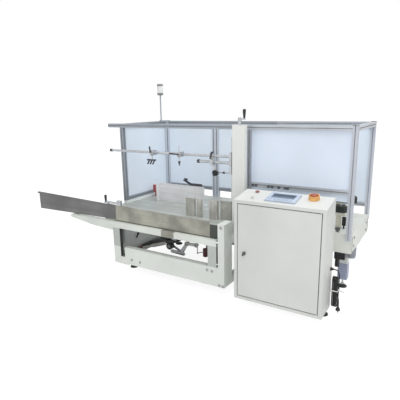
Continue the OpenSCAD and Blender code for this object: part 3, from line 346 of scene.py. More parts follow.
class Coating:
    """Writes one finish into a new material, layer by layer."""

    speck_colour: Colour = (40, 40, 42)
    dust_colour: Colour = (196, 192, 182)
    patch_depth: float = 2.2
    gloss_swing: float = 0.12
    line_stretch: Pair = (6.0, 420.0)
    line_shade: float = 0.8
    streak_gain: float = 1.4
    coat_roughness: float = 0.12
    bump_share: float = 0.3

    def __init__(self, finish: Finish) -> None:
        """Opens the material for a finish.

        Args:
            finish: The finish to write.
        """
        self.finish = finish
        self.made = bpy.data.materials.new(finish.name)
        self.made.use_nodes = True
        self.graph = Graph(self.made.node_tree)
        self.where = self.graph.add("ShaderNodeTexCoord").outputs["Object"]
        self.metal: object = finish.metallic

    def build(self) -> bpy.types.Material:
        """Lays every layer that the finish asks for.

        Returns:
            The material.
        """
        finish = self.finish
        self.ground()
        if finish.lines is not None:
            self.brush()
        for zone in finish.zones:
            self.cut(zone)
        if finish.wear:
            self.tint(self.effect(Effect.WEAR)["Worn"], finish.wear, finish.wear_colour)
        if finish.dust:
            self.tint(self.effect(Effect.DUST)["Dust"], finish.dust, self.dust_colour)
        self.surface()
        return self.made

    def effect(self, effect: Effect, **values: object) -> bpy.types.NodeOutputs:
        """Places a shared effect on the piece's own coordinates and gives its outputs."""
        values = {"Vector": self.where} | values
        return self.graph.add("ShaderNodeGroup", node_tree=SHELF.group(effect), **values).outputs

    def tint(self, mask: Socket, amount: float, colour: Colour) -> None:
        """Mixes an amount of a colour in under a mask."""
        share = self.graph.math("MULTIPLY", mask, amount)
        self.colour = self.graph.mix(share, self.colour, linear(colour))

    def ground(self) -> None:
        """Lays the uneven colour with its specks, the gloss and the grain."""
        finish = self.finish
        deep = tuple(c * (1.0 - self.patch_depth * finish.patch) for c in finish.colour)
        patch = self.effect(Effect.PATCHES, Scale=1.0 / finish.patch_size)["Patch"]
        grain = self.effect(Effect.GRAIN, Scale=1.0 / finish.grain_size)
        self.colour = self.graph.mix(patch, linear(finish.colour), linear(deep))
        self.tint(grain["Speck"], finish.speck, self.speck_colour)
        swing = self.graph.math("MULTIPLY", patch, self.gloss_swing)
        least = finish.roughness - 0.5 * self.gloss_swing
        self.rough = self.graph.math("ADD", swing, least, clamp=True)
        self.height = grain["Height"]

    def brush(self) -> None:
        """Lays fine lines and broad streaks along the finish's line axis."""
        finish, graph = self.finish, self.graph
        along, across = self.line_stretch
        scale = [along if part else across for part in finish.lines.value]
        stretched = graph.add("ShaderNodeMapping", Vector=self.where, Scale=scale).outputs["Vector"]
        lined = self.effect(Effect.LINES, Vector=stretched)
        dark = linear(tuple(c * self.line_shade for c in finish.colour))
        fine = graph.math("MULTIPLY", lined["Line"], finish.line_depth)
        broad = graph.math("MULTIPLY", lined["Streak"], finish.line_depth * self.streak_gain)
        share = graph.math("ADD", fine, broad, clamp=True)
        self.colour = graph.mix(share, self.colour, dark)
        self.height = lined["Line"]

    def cut(self, zone: Zone) -> None:
        """Gives one zone of the piece a colour and gloss of its own, which in some zones is painted light or
        shade.

        Args:
            zone: The zone.
        """
        graph, metal = self.graph, self.finish.metallic
        inside = graph.math("GREATER_THAN", graph.dot(self.where, zone.axis.value), zone.start)
        self.colour = graph.mix(inside, self.colour, linear(zone.colour))
        self.rough = graph.mix(inside, self.rough, zone.roughness, colours=False)
        if zone.metallic != metal:
            gain = graph.math("MULTIPLY", inside, zone.metallic - metal)
            self.metal = graph.math("ADD", gain, metal)

    def surface(self) -> None:
        """Joins the layers to the shader, with the grain as a bump."""
        finish = self.finish
        depth = self.bump_share * finish.grain_size
        bump = self.graph.add("ShaderNodeBump", Strength=finish.grain, Distance=depth, Height=self.height)
        layers = {
            "Base Color": self.colour, "Roughness": self.rough, "Metallic": self.metal,
            "Normal": bump.outputs["Normal"],
        }
        if finish.coat:
            layers |= {"Coat Weight": finish.coat, "Coat Roughness": self.coat_roughness}
        # Glow is emission in the finish's own colour; on the frosted sheets it is painted light.
        if finish.glow:
            layers |= {"Emission Color": linear(finish.colour), "Emission Strength": finish.glow}
        shader = self.made.node_tree.nodes["Principled BSDF"]
        for name, value in layers.items():
            self.graph.join(value, shader.inputs[name])


# Powder coats.
FRAME_PAINT = Finish(
    "frame_paint", (224, 229, 223), 0.42, patch=0.025, patch_size=0.5, grain=0.2,
    grain_size=0.0015, speck=0.02, wear=0.35, wear_colour=(176, 180, 174), dust=0.1,
)
# Painted shade: a darker copy of the frame paint, for the legs.
LEG_SHADED_PAINT = replace(
    FRAME_PAINT, name="leg_shaded_paint", colour=(188, 194, 190), wear_colour=(164, 168, 162),
)
OUTFEED_PAINT = replace(
    FRAME_PAINT, name="outfeed_paint", colour=(232, 235, 228), wear_colour=(196, 200, 194), dust=0.0,
)
COLUMN_PAINT = replace(
    FRAME_PAINT, name="column_paint", colour=(226, 228, 224), roughness=0.45, patch=0.02, wear=0.3,
    wear_colour=(190, 191, 184), dust=0.0,
)
# Painted light: a paler copy of the frame paint, so the end panel and the left sill, which sit in shade, read
# lighter.
SHADE_LIFTED_PAINT = replace(
    FRAME_PAINT, name="shade_lifted_paint", colour=(242, 247, 247), roughness=0.5, patch=0.03,
    patch_size=0.4, wear=0.3, wear_colour=(150, 156, 160), dust=0.0,
)
# Below 235 mm the pedestal turns blue-grey: painted shade under the outfeed beam.
PEDESTAL = replace(
    FRAME_PAINT, name="pedestal_paint", colour=(228, 231, 229), patch=0.03, patch_size=0.3, wear=0.0,
    dust=0.0, zones=(Zone(Axis.DOWN, -0.235, (158, 166, 190), 0.45),),
)
CABINET_PAINT = Finish(
    "cabinet_coat", (214, 216, 213), 0.5, patch=0.02, patch_size=0.6, grain=0.3,
    grain_size=0.0018, speck=0.035, wear=0.4, wear_colour=(228, 229, 225), dust=0.06,
)
LANE_CREAM = Finish("lane_cream", (236, 230, 214), 0.45, patch=0.04, patch_size=0.08)
MOTOR_PAINT = Finish("motor_enamel", (172, 177, 186), 0.4, metallic=0.3, patch_size=0.05, grain=0.2)

# Metals.
# The zones are painted shade and painted light: posts at the far left darker, posts at the far right and at
# the back lighter, as the light falls on them.
ANODISED = Finish(
    "anodised_aluminium", (192, 196, 204), 0.38, metallic=0.35, patch=0.03, lines=Axis.Z,
    line_depth=0.25, grain=0.1, wear=0.5, wear_colour=(220, 224, 230),
    zones=(
        Zone(Axis.LEFT, 0.55, (150, 156, 164), 0.4, 0.35),
        Zone(Axis.X, 1.62, (188, 192, 201), 0.4, 0.35),
        Zone(Axis.Y, 0.5, (198, 203, 212), 0.4, 0.2),
    ),
)
# Its zone is painted shade: the rails left of the column are darker.
ANODISED_LONG = replace(
    ANODISED, name="anodised_rail", colour=(204, 209, 216), lines=Axis.X,
    zones=(Zone(Axis.LEFT, -0.78, (158, 164, 172), 0.4, 0.3),),
)
TABLE_STEEL = Finish(
    "table_steel", (206, 211, 206), 0.42, metallic=0.2, patch_size=0.3, lines=Axis.X, line_depth=0.45,
    dust=0.12,
)
PLATE_STEEL = Finish(
    "plate_steel", (206, 206, 198), 0.42, metallic=0.25, patch=0.1, patch_size=0.1, lines=Axis.Z,
    line_depth=0.35, wear=0.6, wear_colour=(214, 213, 204),
)
# Its zone is painted shade: the plate's right end, near the channel post, is almost black.
FRONT_PLATE = Finish(
    "front_plate_steel", (178, 177, 165), 0.42, metallic=0.35, patch=0.12, patch_size=0.22,
    lines=Axis.X, line_depth=0.18, wear=0.6, wear_colour=(214, 213, 204),
    zones=(Zone(Axis.X, 0.604, (62, 65, 60), 0.5),),
)
EXTENSION = Finish(
    "extension_steel", (126, 127, 126), 0.42, metallic=0.4, patch=0.07, patch_size=0.3, lines=Axis.X,
    line_depth=0.4, wear=0.5, wear_colour=(186, 187, 184),
    zones=(Zone(Axis.LEFT, 1.6785, (30, 30, 32), 0.5),),
)
# Painted light: the rear guide plate is near white to make up for the shade it sits in.
GUIDE_PALE = Finish(
    "rear_guide_lightened", (246, 247, 250), 0.42, patch=0.04, patch_size=0.3, lines=Axis.X,
    line_depth=0.2, wear=0.5, wear_colour=(186, 190, 196),
)
LANE_BEAM = Finish(
    "lane_beam", (204, 200, 188), 0.4, metallic=0.2, patch=0.04, patch_size=0.1, lines=Axis.X,
    line_depth=0.2, grain=0.12,
)
LEVER_GREY = Finish(
    "lever_plate", (228, 230, 232), 0.42, metallic=0.2, patch_size=0.06, wear=0.4,
    wear_colour=(206, 208, 210), zones=(Zone(Axis.DOWN, -0.197, (62, 63, 66), 0.45),),
)
BELLY_GREY = Finish("ramp_belly", (196, 196, 190), 0.42, metallic=0.2, patch_size=0.08)
LOCK_GREY = Finish("lock_grey", (96, 99, 99), 0.4, metallic=0.3, patch_size=0.02, grain=0.12)
BOLT_STEEL = Finish(
    "bolt_steel", (178, 181, 178), 0.36, metallic=0.5, patch=0.08, patch_size=0.02, grain=0.1,
)
ZINC = Finish(
    "bright_zinc", (196, 199, 203), 0.3, metallic=0.75, patch=0.05, patch_size=0.04, grain=0.12,
    grain_size=0.0012, wear=0.3, wear_colour=(226, 228, 230),
)

# Sheets, lens and screen.
# The glow on the frosted and back-lit sheets is painted light: they give off light of their own, standing in
# for light through the sheets, and the back-lit copy for the walls glows more.
FROSTED = Finish(
    "frosted_sheet", (209, 219, 233), 0.34, patch=0.02, patch_size=0.7, grain=0.08,
    grain_size=0.004, speck=0.01, coat=0.25, glow=0.14,
)
BACKLIT = replace(
    FROSTED, name="backlit_sheet", colour=(210, 220, 231), roughness=0.4, coat=0.0, glow=0.19,
)
LENS = Finish(
    "lamp_lens", (226, 228, 226), 0.2, patch=0.04, patch_size=0.03, grain=0.1, coat=0.5, glow=0.08,
)
BEZEL = Finish(
    "screen_bezel", (186, 199, 216), 0.4, patch=0.04, patch_size=0.08, grain=0.2, grain_size=0.001,
    speck=0.02,
)
DISPLAY = Finish(
    "display_glass", (68, 80, 96), 0.45, patch=0.05, patch_size=0.05, grain=0.04,
    zones=(Zone(Axis.FRONT, 0.46, (108, 122, 142), 0.45),),
)
KEY = Finish("soft_key", (172, 186, 205), 0.45, patch=0.03, patch_size=0.03, grain=0.12)

# Mouldings and rubber.
BLACK = Finish(
    "black_moulding", (34, 34, 37), 0.46, patch=0.1, patch_size=0.05, grain=0.3, grain_size=0.0012,
    speck=0.2, wear=0.5, wear_colour=(78, 78, 80), dust=0.12,
)
AIR_UNIT = replace(
    BLACK, name="air_unit_moulding", wear=0.0, zones=(Zone(Axis.Z, 0.85, (84, 87, 92), 0.45),),
)
SUCTION = Finish(
    "suction_bars", (70, 73, 80), 0.45, patch=0.1, patch_size=0.05, grain=0.25, speck=0.1, wear=0.4,
    wear_colour=(90, 90, 92),
)
RAMP = Finish(
    "ramp_coating", (40, 41, 44), 0.4, patch=0.1, patch_size=0.06, grain=0.25, speck=0.1, wear=0.5,
    wear_colour=(110, 112, 114), zones=(Zone(Axis.LEFT, 0.3, (104, 70, 66), 0.45),),
)
RUBBER = Finish(
    "black_rubber", (30, 31, 31), 0.62, patch=0.12, patch_size=0.04, grain=0.4, grain_size=0.0016,
    speck=0.2, dust=0.15,
)
BELT = Finish(
    "belt_rubber", (42, 52, 47), 0.58, patch=0.12, patch_size=0.03, grain=0.5, grain_size=0.003,
    speck=0.25,
)
# Painted shade for the strips in the guard's slots.
SLOT_SHADE = Finish("slot_shade_paint", (104, 110, 120), 0.6, patch=0.08, patch_size=0.05, grain=0.25)
DOOR_SEAL = Finish("door_seal", (172, 176, 171), 0.6, patch=0.05, patch_size=0.05, grain=0.2)
# Painted shadow: a dark strip along the front plate's lower edge.
PLATE_SHADOW = Finish("plate_shadow_line", (96, 96, 88), 0.5, patch=0.08, patch_size=0.1)
CAP_GREY = Finish("lamp_cap", (150, 152, 150), 0.45, patch_size=0.03, grain=0.2)
TIE_WHITE = Finish("tie_nylon", (228, 229, 226), 0.45, patch=0.04, patch_size=0.02, grain=0.1)
PALE_PLASTIC = Finish("pale_moulding", (228, 228, 224), 0.42, patch=0.03, patch_size=0.03, grain=0.12)
STOP_RED = Finish("stop_red", (168, 76, 46), 0.4, patch_size=0.02, grain=0.1, coat=0.3)
STOP_YELLOW = Finish("stop_yellow", (247, 186, 110), 0.4, patch_size=0.03, grain=0.12)
START_RED = Finish(
    "start_red", (156, 100, 100), 0.4, patch_size=0.02, grain=0.1,
    zones=(Zone(Axis.FRONT, 0.46, (200, 206, 202), 0.4),),
)
ROLLER = Finish(
    "red_roller", (178, 90, 92), 0.42, patch=0.08, patch_size=0.04, grain=0.2, speck=0.06,
    zones=(Zone(Axis.DOWN, -0.4, (98, 58, 62), 0.45),),
)


def rest() -> None:
    """Leaves edit mode and deselects everything."""
    if bpy.context.object is not None and bpy.context.object.mode != "OBJECT":
        bpy.ops.object.mode_set(mode="OBJECT")
    bpy.ops.object.select_all(action="DESELECT")


class Bench:
    """Shapes one new mesh at a time with Blender's operators, from sizes in millimetres."""

    def __init__(self) -> None:
        """Starts with nothing on the bench."""
        self.piece: Piece | None = None

    def edit(self) -> None:
        """Applies the primitive's place and size, and opens it for editing."""
        self.piece = bpy.context.active_object
        bpy.ops.object.transform_apply(location=True, rotation=True, scale=True)
        bpy.ops.object.mode_set(mode="EDIT")
        bpy.ops.mesh.select_mode(type="FACE")

    def block(self, low: Vector, high: Vector) -> Bench:
        """Starts from a cube between two corners.

        Args:
            low: Lowest corner in metres.
            high: Highest corner in metres.

        Returns:
            The bench, for the next step.
        """
        rest()
        bpy.ops.mesh.primitive_cube_add(size=1.0, location=(low + high) / 2)
        bpy.context.active_object.scale = high - low
        self.edit()
        return self

    def disc(self, radius: float, thick: float, sides: int) -> Bench:
        """Starts from a short cylinder that stands on the origin.

        Args:
            radius: Radius of the cylinder.
            thick: Height of the cylinder.
            sides: Number of its sides.

        Returns:
            The bench, for the next step.
        """
        rest()
        bpy.ops.mesh.primitive_cylinder_add(
            vertices=sides, radius=radius * MM, depth=thick * MM, location=(0.0, 0.0, thick * MM / 2)
        )
        self.edit()
        return self

    def stud(self, radius: float, height: float, sides: int, chamfer: float, steps: int) -> Bench:
        """Starts from a cylinder with its upper edge cut, and selects its top.

        Args:
            radius: Radius of the cylinder.
            height: Height of the cylinder.
            sides: Number of its sides.
            chamfer: Width of the cut.
            steps: Facets across the cut.

        Returns:
            The bench, for the next step.
        """
        top = ALIGNED * height * MM
        self.disc(radius, height, sides)
        self.edges(lambda middle, along: middle.z > top and abs(along.z) < 1.0 - ALIGNED)
        self.bevel(chamfer, steps)
        return self.faces(lambda middle, normal: middle.z > top and normal.z > ALIGNED)

    def turned(self, profile: Sequence[Pair], sides: int = 32) -> Piece:
        """Models a round form on +Z, drawn up from a disc ring by ring.

        Args:
            profile: Radius and height of each ring, from the bottom up.
            sides: Number of sides.

        Returns:
            The form, not yet placed.
        """
        rest()
        radius, height = profile[0]
        bpy.ops.mesh.primitive_circle_add(
            vertices=sides, radius=radius * MM, fill_type="NGON", location=(0.0, 0.0, height * MM)
        )
        self.edit()
        bpy.ops.mesh.select_all(action="SELECT")
        for wide, high in profile[1:]:
            self.raise_ring(high - height)
            self.widen(wide / radius)
            radius, height = wide, high
        bpy.ops.mesh.select_all(action="SELECT")
        bpy.ops.mesh.normals_make_consistent(inside=False)
        return self.off()

    def raise_ring(self, rise: float = 0.0) -> Bench:
        """Extrudes the selection straight up."""
        bpy.ops.mesh.extrude_region_move(TRANSFORM_OT_translate={"value": (0.0, 0.0, rise * MM)})
        return self

    def widen(self, share: float) -> Bench:
        """Scales the selection about the upright axis through the origin."""
        bpy.ops.transform.resize(value=(share, share, 1.0), center_override=(0.0, 0.0, 0.0))
        return self

    def faces(self, test: Test) -> Bench:
        """Selects the faces that pass a test, and no others.

        Args:
            test: Takes the middle and the normal of a face.

        Returns:
            The bench, for the next step.
        """
        bpy.ops.mesh.select_mode(type="FACE")
        bpy.ops.mesh.select_all(action="DESELECT")
        mesh = bmesh.from_edit_mesh(self.piece.data)
        for face in mesh.faces:
            face.select_set(test(face.calc_center_median(), face.normal))
        bmesh.update_edit_mesh(self.piece.data)
        return self

    def edges(self, test: Test) -> Bench:
        """Selects the edges that pass a test, and no others.

        Args:
            test: Takes the middle and the direction of an edge.

        Returns:
            The bench, for the next step.
        """
        bpy.ops.mesh.select_mode(type="EDGE")
        bpy.ops.mesh.select_all(action="DESELECT")
        mesh = bmesh.from_edit_mesh(self.piece.data)
        for edge in mesh.edges:
            start, end = (corner.co for corner in edge.verts)
            edge.select_set(test((start + end) / 2, (end - start).normalized()))
        bmesh.update_edit_mesh(self.piece.data)
        return self

    def top(self) -> Bench:
        """Selects the faces that point up."""
        return self.faces(lambda middle, normal: normal.z > ALIGNED)

    def inset(self, width: float, depth: float = 0.0) -> Bench:
        """Insets the selected faces and moves them in or out."""
        bpy.ops.mesh.inset(thickness=width * MM, depth=depth * MM)
        return self

    def bevel(self, width: float, steps: int = 2) -> Bench:
        """Rounds the selected edges."""
        bpy.ops.mesh.bevel(offset=width * MM, segments=steps, affect="EDGES")
        return self

    def soften(self, width: float, steps: int = 2) -> Bench:
        """Rounds every edge of the piece."""
        return self.edges(lambda middle, along: True).bevel(width, steps)

    def drop(self) -> Bench:
        """Deletes the selected faces."""
        bpy.ops.mesh.delete(type="FACE")
        return self

    def off(self, angle: float = 35.0) -> Piece:
        """Takes the piece off the bench, shaded smooth up to an angle.

        Args:
            angle: Edges sharper than this stay sharp, in degrees.

        Returns:
            The piece, not yet named.
        """
        bpy.ops.mesh.select_all(action="SELECT")
        bpy.ops.mesh.remove_doubles(threshold=1e-6)
        bpy.ops.object.mode_set(mode="OBJECT")
        bpy.ops.object.shade_smooth_by_angle(angle=math.radians(angle))
        return self.piece


BENCH = Bench()


def place(piece: Piece, spot: Vector, axis: Axis = Axis.Z) -> Piece:
    """Carries a piece made on +Z at the origin to its spot and axis, in its mesh."""
    piece.data.transform(Matrix.Translation(spot) @ axis.turn)
    return piece


def tilted(piece: Piece, spot: Vector, degrees: float, about: str) -> Piece:
    """Carries a piece made at the origin to its spot, turned about one axis by name."""
    piece.data.transform(Matrix.Translation(spot) @ Matrix.Rotation(math.radians(degrees), 4, about))
    return piece


def joined(pieces: Sequence[Piece]) -> Piece:
    """Joins pieces into one.

    Args:
        pieces: The pieces, the first of which takes in the rest.

    Returns:
        The joined piece.
    """
    rest()
    for piece in pieces:
        piece.select_set(True)
    bpy.context.view_layer.objects.active = pieces[0]
    if len(pieces) > 1:
        bpy.ops.object.join()
    return pieces[0]


def copies(model: Piece, spots: Sequence[Spot]) -> Piece:
    """Sets copies of a piece made on +Z at the origin, each with its own mesh, and joins them.

    Args:
        model: The piece to copy, used up by the work.
        spots: Place and axis of each copy.

    Returns:
        One piece that holds all the copies.
    """
    made = []
    for spot, axis in spots:
        twin = model.copy()
        twin.data = model.data.copy()
        bpy.context.scene.collection.objects.link(twin)
        made.append(place(twin, spot, axis))
    bpy.data.objects.remove(model)
    return joined(made)


def settle(piece: Piece, name: str, finish: Finish, body: Body = Body.FRAME) -> Piece:
    """Names a finished piece, dresses it and puts it on its body.

    Args:
        piece: The piece.
        name: Its plain name.
        finish: Its finish.
        body: The body that carries it.

    Returns:
        The same piece.
    """
    piece.name = name
    piece.data.name = name
    piece.data.materials.clear()
    piece.data.materials.append(finish.material())
    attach(piece, body.value)
    LOG.info("made %s on %s", name, body.value)
    return piece


def dress(finish: Finish, *nodes: str) -> None:
    """Gives CAD nodes a finish in their material slots.

    Args:
        finish: The finish.
        nodes: Names of the nodes.
    """
    for name in nodes:
        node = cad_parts[name]
        for slot in node.material_slots:
            slot.material = finish.material()
        if not node.material_slots:
            node.data.materials.append(finish.material())
        LOG.info("dressed %s in %s", name, finish.name)


def bolts(name: str, radius: float, height: float, spots: Sequence[Spot], body: Body = Body.FRAME) -> None:
    """Sets equal round bolts with a socket in the head.

    Args:
        name: Name of the group.
        radius: Radius of a head.
        height: Height of a head.
        spots: Place and axis of each bolt.
        body: The body that carries them.
    """
    BENCH.stud(radius, height, sides=18, chamfer=0.3 * height, steps=2).inset(0.45 * radius)
    head = BENCH.inset(0.02 * radius, -0.5 * height).off()
    settle(copies(head, spots), name, BOLT_STEEL, body)


def hex_nut(radius: float, height: float) -> Piece:
    """Models a chamfered hexagon head that stands on the origin."""
    BENCH.stud(radius, height, sides=6, chamfer=0.14 * radius, steps=1).inset(0.25 * radius)
    return BENCH.inset(0.05 * radius, 0.18 * height).off(25.0)


def rounded(low: Place, high: Place, edge: float) -> Piece:
    """Models a block between two layout corners, its edges rounded to a radius."""
    return BENCH.block(at(*low), at(*high)).soften(edge).off()


def cushioned(low: Place, high: Place, rim: float, depth: float) -> Piece:
    """Models a block with its front set in or out inside a rim, and rounded edges.

    Args:
        low: Lowest corner in the layout.
        high: Highest corner in the layout.
        rim: Width of the rim.
        depth: Distance that the inner face moves outwards.

    Returns:
        The block, in its place.
    """
    BENCH.block(at(*low), at(*high))
    BENCH.faces(lambda middle, normal: normal.dot(Axis.FRONT.vector) > ALIGNED).inset(rim, depth)
    return BENCH.soften(0.12 * rim, 1).off()


@dataclass(frozen=True)
class Bar:
    """A flat bar with rounded ends between two points, given by X and Z, of the front view."""

    start: Pair
    end: Pair
    width: float
    front: float
    depth: float

    def model(self) -> Piece:
        """Models the bar in its place.

        Returns:
            The bar.
        """
        half = 0.5 * self.width
        (x, z), (end_x, end_z) = self.start, self.end
        far = Vector((math.dist(self.start, self.end) + half, self.depth, half))
        BENCH.block(MM * Vector((-half, 0.0, -half)), MM * far)
        BENCH.edges(lambda middle, along: abs(along.y) > ALIGNED).bevel(0.45 * self.width, 4)
        rise = math.degrees(math.atan2(end_z - z, end_x - x))
        return tilted(BENCH.off(), at(x, self.front, z), -rise, "Y")


@dataclass
class Studio:
    """Camera, pale floor and soft light."""

    eye: Place = (1415.0, -2723.0, 1613.0)
    lens: float = 36.05
    sensor: float = 36.0
    yaw: float = 32.47
    pitch: float = -13.21
    roll: float = -1.07
    floor_half: float = 30.0
    floor_colour: Colour = (244, 244, 244)
    floor_roughness: float = 0.9
    floor_glow: float = 1.25
    floor_glow_share: float = 0.7
    sky: float = 0.74
    target: Place = (-200.0, 400.0, 700.0)
    key_spot: Place = (500.0, -300.0, 4600.0)
    key_size: float = 3.2
    key_power: float = 105.0
    fill_spot: Place = (1900.0, -2300.0, 850.0)
    fill_size: float = 1.4
    fill_power: float = 9.0

    def build(self) -> None:
        """Sets the view, floor, world and lamps."""
        bpy.context.scene.view_settings.view_transform = "Standard"
        self.camera()
        self.floor()
        self.world()
        self.lamp("key_light", self.key_spot, self.key_size, self.key_power)
        self.lamp("fill_light", self.fill_spot, self.fill_size, self.fill_power)

    def camera(self) -> None:
        """Stands the camera where the photograph's edges put it."""
        data = bpy.data.cameras.new("view")
        data.lens = self.lens
        data.sensor_width = self.sensor
        view = bpy.data.objects.new("view", data)
        stand = Matrix.Translation(at(*self.eye))
        for degrees, axis in ((self.yaw, "Z"), (90.0 + self.pitch, "X"), (self.roll, "Z")):
            stand = stand @ Matrix.Rotation(math.radians(degrees), 4, axis)
        view.matrix_world = stand
        bpy.context.scene.collection.objects.link(view)
        bpy.context.scene.camera = view

    def floor(self) -> None:
        """Lays a white floor that keeps a faint shadow."""
        rest()
        bpy.ops.mesh.primitive_plane_add(size=2.0 * self.floor_half, location=(0.0, 0.0, 0.0))
        ground = bpy.context.active_object
        ground.name = "floor"
        paper = bpy.data.materials.new("floor_paper")
        paper.use_nodes = True
        graph = Graph(paper.node_tree)
        shader = paper.node_tree.nodes["Principled BSDF"]
        shader.inputs["Base Color"].default_value = linear(self.floor_colour)
        shader.inputs["Roughness"].default_value = self.floor_roughness
        light = graph.add("ShaderNodeEmission", Strength=self.floor_glow)
        share = graph.math("MULTIPLY", self.seen(graph), self.floor_glow_share)
        blend = graph.add("ShaderNodeMixShader", share, shader.outputs[0], light.outputs[0])
        graph.join(blend.outputs[0], paper.node_tree.nodes["Material Output"].inputs["Surface"])
        ground.data.materials.append(paper)

    def seen(self, graph: Graph) -> Socket:
        """Gives 1 for rays from the camera or through a reflection or clear sheet.

        Args:
            graph: Graph to write into.

        Returns:
            The share.
        """
        rays = graph.add("ShaderNodeLightPath").outputs
        first = graph.math("MAXIMUM", rays["Is Camera Ray"], rays["Is Glossy Ray"])
        return graph.math("MAXIMUM", first, rays["Is Transmission Ray"])

    def world(self) -> None:
        """Makes the white surround, which lights less than it shows."""
        surround = bpy.context.scene.world or bpy.data.worlds.new("surround")
        bpy.context.scene.world = surround
        surround.use_nodes = True
        surround.node_tree.nodes.clear()
        graph = Graph(surround.node_tree)
        extra = graph.math("MULTIPLY", self.seen(graph), 1.0 - self.sky)
        strength = graph.math("ADD", extra, self.sky)
        back = graph.add("ShaderNodeBackground", Color=(1.0, 1.0, 1.0, 1.0), Strength=strength)
        graph.add("ShaderNodeOutputWorld", Surface=back.outputs[0])

    def lamp(self, name: str, spot: Place, size: float, power: float) -> None:
        """Hangs one large soft lamp that points at the machine.

        Args:
            name: Name of the lamp.
            spot: Its place in the layout.
            size: Side of its square face in metres.
            power: Its power in watts.
        """
        data = bpy.data.lights.new(name, "AREA")
        data.size = size
        data.energy = power
        lamp = bpy.data.objects.new(name, data)
        aim = at(*self.target) - at(*spot)
        turn = aim.to_track_quat("-Z", "Y").to_matrix().to_4x4()
        lamp.matrix_world = Matrix.Translation(at(*spot)) @ turn
        bpy.context.scene.collection.objects.link(lamp)


def bezier(ends: Sequence[Vector], share: float) -> Vector:
    """Gives one point of a curve with two handles.

    Args:
        ends: Start, two handles and end.
        share: Share of the way along.

    Returns:
        The point.
    """
    left = 1.0 - share
    return (
        left**3 * ends[0] + 3.0 * left**2 * share * ends[1]
        + 3.0 * left * share**2 * ends[2] + share**3 * ends[3]
    )


def smooth(points: Sequence[Vector], steps: int) -> list[Vector]:
    """Draws a smooth line through points.

    Args:
        points: Points that the line passes.
        steps: Steps between two of them.

    Returns:
        Points of the line.
    """
    line = []
    for k in range(len(points) - 1):
        before = points[max(k - 1, 0)]
        after = points[min(k + 2, len(points) - 1)]
        start, end = points[k], points[k + 1]
        ends = [start, start + (end - before) / 6.0, end - (after - start) / 6.0, end]
        line += [bezier(ends, step / steps) for step in range(steps)]
    return line + [points[-1]]


